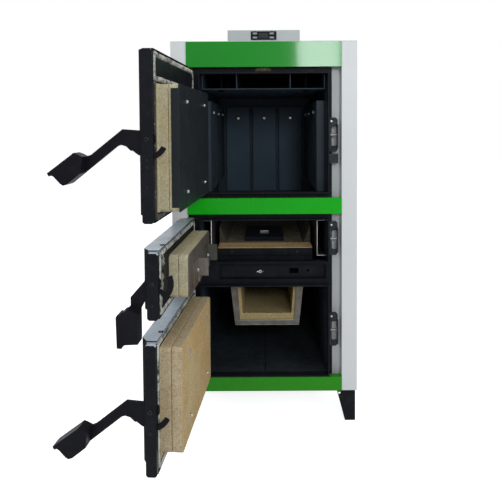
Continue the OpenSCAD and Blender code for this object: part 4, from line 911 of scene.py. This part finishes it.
def fibre(bm):
    """One loose fibre of the tuft, kept inside the tuft's box."""
    a, spread = rng.uniform(0, 2 * math.pi), math.sqrt(rng.random())
    where = Vector((math.cos(a), math.sin(a * 3), math.sin(a)))
    start = TUFT_MID + Vector((TUFT_HALF[i] * spread * where[i] for i in range(3)))
    d = Vector((rng.gauss(0, 1), rng.gauss(0, 0.35), rng.gauss(-0.15, 0.35))).normalized()
    r = rng.uniform(*FIBRE_R)
    length = rng.uniform(*FIBRE_L)
    rings = []
    for k in range(TUFT_POINTS):
        p = start + d * length * k / (TUFT_POINTS - 1)
        p = Vector((min(max(p[i], TUFT_LOW[i]), TUFT_HIGH[i]) for i in range(3)))
        d = (d + Vector((rng.gauss(0, 0.3), rng.gauss(0, 0.3), rng.gauss(0, 0.3)))).normalized()
        rings.append(ring(bm, facing(p, d), r * (1 - 0.6 * k / TUFT_POINTS), 0, 4))
    stack(bm, rings)


def insulation():
    bm = bmesh.new()
    for lo, hi in WOOL_SLABS:
        slab(bm, lo, hi)
    o = put("insulation_shown", bm, MAT["wool"], "boiler")
    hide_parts("insulation")
    bm = bmesh.new()
    for _ in range(TUFT_FIBRES):
        fibre(bm)
    put("wool_tuft", bm, MAT["wool"], "boiler")


# Screws in the cover tops, along the door and towards its inside
SCREW_T, SCREW_N = 0.385, -0.008
CORE_R, CORE_TOP_R, CORE_FROM, CORE_TO = 0.0026, 0.0022, 0.0005, 0.0019


def cover_screws():
    """A screw in the top of the middle and the lower cover."""
    for door in ("middle", "lower"):
        z = cad_box(door + "_cover")[1].z
        dark, pale = bmesh.new(), bmesh.new()
        at = on_door(door) @ facing((SCREW_T, SCREW_N, z + LIFT), UPWARD)
        button_bolt(dark, at, **SCREW_HEAD)
        stack(pale, [ring(pale, at, CORE_R, CORE_FROM, 20), ring(pale, at, CORE_TOP_R, CORE_TO, 20)])
        put(door + "_cover_screw", dark, BLACK_BOLT, door + "_leaf")
        put(door + "_cover_screw_core", pale, MAT["fixings"], door + "_leaf")


# The crumpled light strip beside the middle door's rope
STRIP_TOP, STRIP_L, STRIP_T = 0.664, 0.118, 0.4285
STRIP_WIDE, STRIP_LEAST, STRIP_THICK = 0.0085, 0.0012, 0.0005
STRIP_ROWS, STRIP_COLS = 70, 5


def frayed_strip():
    """Loose, crumpled edge of the rope's bedding, tapering downwards."""
    bm = bmesh.new()
    m = on_door("middle")
    keep = []
    for k in range(STRIP_ROWS):
        f = k / (STRIP_ROWS - 1)
        z = STRIP_TOP - STRIP_L * f
        wide = STRIP_WIDE * (1 - f) ** 0.7 + STRIP_LEAST
        row = []
        for j in range(STRIP_COLS):
            q = j / (STRIP_COLS - 1)
            t = STRIP_T - MM * q + 1.4 * MM * noise.noise(Vector((z * 160, q * 2, 1)))
            n = 0.4 * MM + wide * q * (0.75 + 0.5 * noise.noise(Vector((z * 120, q * 3, 5))))
            up = z + 1.2 * MM * noise.noise(Vector((z * 200, q, 9)))
            row.append(bm.verts.new(m @ Vector((t, n, up))))
        keep.append(row)
    for a, b in zip(keep, keep[1:]):
        for j in range(STRIP_COLS - 1):
            bm.faces.new((a[j], a[j + 1], b[j + 1], b[j]))
    bmesh.ops.solidify(bm, geom=bm.faces[:], thickness=STRIP_THICK)
    put("middle_rope_bedding", bm, MAT["rope"], "middle_leaf", True, 40)


# Display: a window with two short dashes for each of four signs, and a line at each button
DISPLAY_Y = cad_box("display")[0].y - 0.3 * MM
WINDOW = (-0.016, 0.014, 1.2525, 1.2705)
WINDOW_T, DASH_T, LINE_T = 0.0004, 0.0005, 0.00015
DASH_X, DASH_PITCH, DASH_COUNT = -0.0145, 0.0072, 4
DASHES = ((0.0052, 1.2642, 1.2648), (0.0043, 1.2575, 1.2580))
LINE_XS, LINE_ZS, LINE_HALF, LINE_HALF_H = (-0.028, 0.026), (1.2755, 1.2475), 0.003, 0.0003


def front_plate(bm, x0, x1, z0, z1, thick):
    """A thin plate that stands out from the display."""
    corners = ((x0, z0), (x1, z0), (x1, z1), (x0, z1))
    v = [bm.verts.new((x, y, z)) for y in (DISPLAY_Y, DISPLAY_Y - thick) for x, z in corners]
    for f in ((0, 1, 2, 3), (7, 6, 5, 4), (0, 4, 5, 1), (1, 5, 6, 2), (2, 6, 7, 3), (3, 7, 4, 0)):
        bm.faces.new([v[i] for i in f])


def display_detail():
    bm = bmesh.new()
    front_plate(bm, *WINDOW, WINDOW_T)
    round_edges(bm, 0.15, 1)
    put("display_window", bm, GLASS, "boiler")
    bm = bmesh.new()
    for k in range(DASH_COUNT):
        x = DASH_X + k * DASH_PITCH
        for wide, z0, z1 in DASHES:
            front_plate(bm, x, x + wide, z0, z1, DASH_T)
    for x in LINE_XS:
        for z in LINE_ZS:
            front_plate(bm, x - LINE_HALF, x + LINE_HALF, z - LINE_HALF_H, z + LINE_HALF_H, LINE_T)
    put("display_marks", bm, MARK, "boiler", False)


# The width of each node's rounded edges, in mm
EDGES = {
    "casing_left": 0.6, "casing_right": 0.6, "casing_top": 0.5, "rear_panel": 0.5,
    "top_strip": 0.6, "middle_strip": 0.6, "bottom_strip": 0.6, "control_box": 0.9, "display": 0.5,
    "legs": 1.2, "front_frame": 0.8, "smoke_channel": 0.9, "liner_plates": 0.9, "sill_plate": 0.9,
    "air_channels": 1.5, "air_panel": 0.7, "flame_frame": 1.2, "keepers": 0.9, "door_switch": 1.2,
    "hinge_brackets": 0.8, "flue_box": 1.0, "nozzle": 1.6, "floor_plates": 1.0, "middle_face": 0.6,
    "upper_shield": 0.9, "upper_door": 0.8, "middle_door": 0.8, "lower_door": 0.8,
    "upper_cover": 1.6, "middle_cover": 1.6, "lower_cover": 1.6,
    "upper_lever": 1.1, "middle_lever": 1.1, "lower_lever": 1.1, "inner_shell": 0.8, "outer_shell": 0.6,
    "fan_motor": 1.5, "fan_impeller": 0.4, "keeper_pins": 0.6, "wing_nut": 0.4,
    "button_1": 0.5, "button_2": 0.5, "button_3": 0.5, "button_4": 0.5,
}
BOARDS = {
    "upper_block": (MAT["board"], 1.6), "middle_block": (MAT["board"], 1.6),
    "lower_block": (WARM_BOARD, 1.8), "flame_channel": (CHANNEL_BOARD, 1.2),
    "sill_board": (WARM_BOARD, 1.2), "refractory_floor": (MAT["refractory"], 1.5),
}

# Places that tell one part of a node from another, in metres
BACK_PLATES_FROM = 0.1
LOWER_CHAMBER_TO = 0.3
FRAME_X, FRAME_HALF, FRAME_BOTTOM_TO = 0.006, 0.06, 0.316
HOLE_HALF, HOLE_FROM = 0.03, -0.27
FAR_BRACKET_TO = 0.16
PANEL_TO = 0.53

# (node, material, which faces), on a face's centre c and normal n
REPAINTS = [
    ("air_channels", BRIGHT_EDGE, lambda c, n: n.y < -0.6),
    # the liner's back plates get the brighter copy of its paint, painted light
    ("liner_plates", LIT_BACK_LINER, lambda c, n: n.y < -0.6 and c.y > BACK_PLATES_FROM),
    ("inner_shell", FLOOR_DARK, lambda c, n: n.z > 0.6 and c.z < LOWER_CHAMBER_TO),
    ("floor_plates", FLOOR_DARK, lambda c, n: n.z > 0.6),
    ("flame_frame", EDGE_STEEL,
     lambda c, n: c.z < FRAME_BOTTOM_TO and n.y < -0.6 and abs(c.x - FRAME_X) < FRAME_HALF),
    ("nozzle", EDGE_STEEL, lambda c, n: abs(n.z) < 0.5 and abs(c.x) < HOLE_HALF and c.y > HOLE_FROM),
    ("middle_face", FAR_STEEL, lambda c, n: (on_door("middle").inverted() @ c).x < FAR_BRACKET_TO),
    ("lower_block", GREY_BLOCK, lambda c, n: n.y < -0.5 or n.z > 0.5),
    # the refractory's side banks and front faces painted dark, and its front faces below the panel
    # near-black
    ("refractory_floor", DARK_WALL, lambda c, n: abs(n.x) > 0.3 or n.y < -0.3),
    ("refractory_floor", STUD, lambda c, n: n.y < -0.3 and c.z < PANEL_TO),
]


def dress():
    """Makes every shown piece, and gives the CAD nodes that stay their materials."""
    for door in OPEN:
        door_bolts(door)
    body_bolts()
    seal_ropes()
    insulation()
    cover_screws()
    frayed_strip()
    for name, o in frame["nodes"].items():
        o.data.materials.clear()
        o.data.materials.append(material_for(name))
    shown = {node: soften(node, width) for node, width in EDGES.items()}
    for node, (material, width) in BOARDS.items():
        shown[node] = rough_board(node, material, width)
    for door, top in DOOR_TOP.items():
        for node in (door + "_cover", door + "_door"):
            # The upper door's tops take gloss paint; the middle and lower doors' tops a painted reflection
            # with painted shade
            material = GLOSS if door == "upper" else PAINTED_REFLECTION_TOP
            repaint(shown[node], material, lambda c, n: n.z > 0.7 and c.z > top - 4 * MM)
    for node, material, test in REPAINTS:
        repaint(shown[node], material, test)
    display_detail()


dress()
make_camera()
make_world()
make_floor()
lamp("key", at=(-2.1, -3.2, 2.6), towards=(0, -0.5, 0.8), size=(1.6, 1.6), power=20)
lamp("fill", at=(2.2, -2.9, 1.7), towards=(0, -0.5, 0.7), size=(1.4, 1.6), power=30)
lamp("glint", at=(0.45, -3.1, 1.58), towards=(0.1, -0.5, 1.2), size=(0.36, 0.52), power=20,
     colour=(0.92, 0.98, 1))
lamp("over", at=(0.2, -0.6, 3.2), towards=(0, 0, 0.6), size=(2.0, 2.0), power=26)
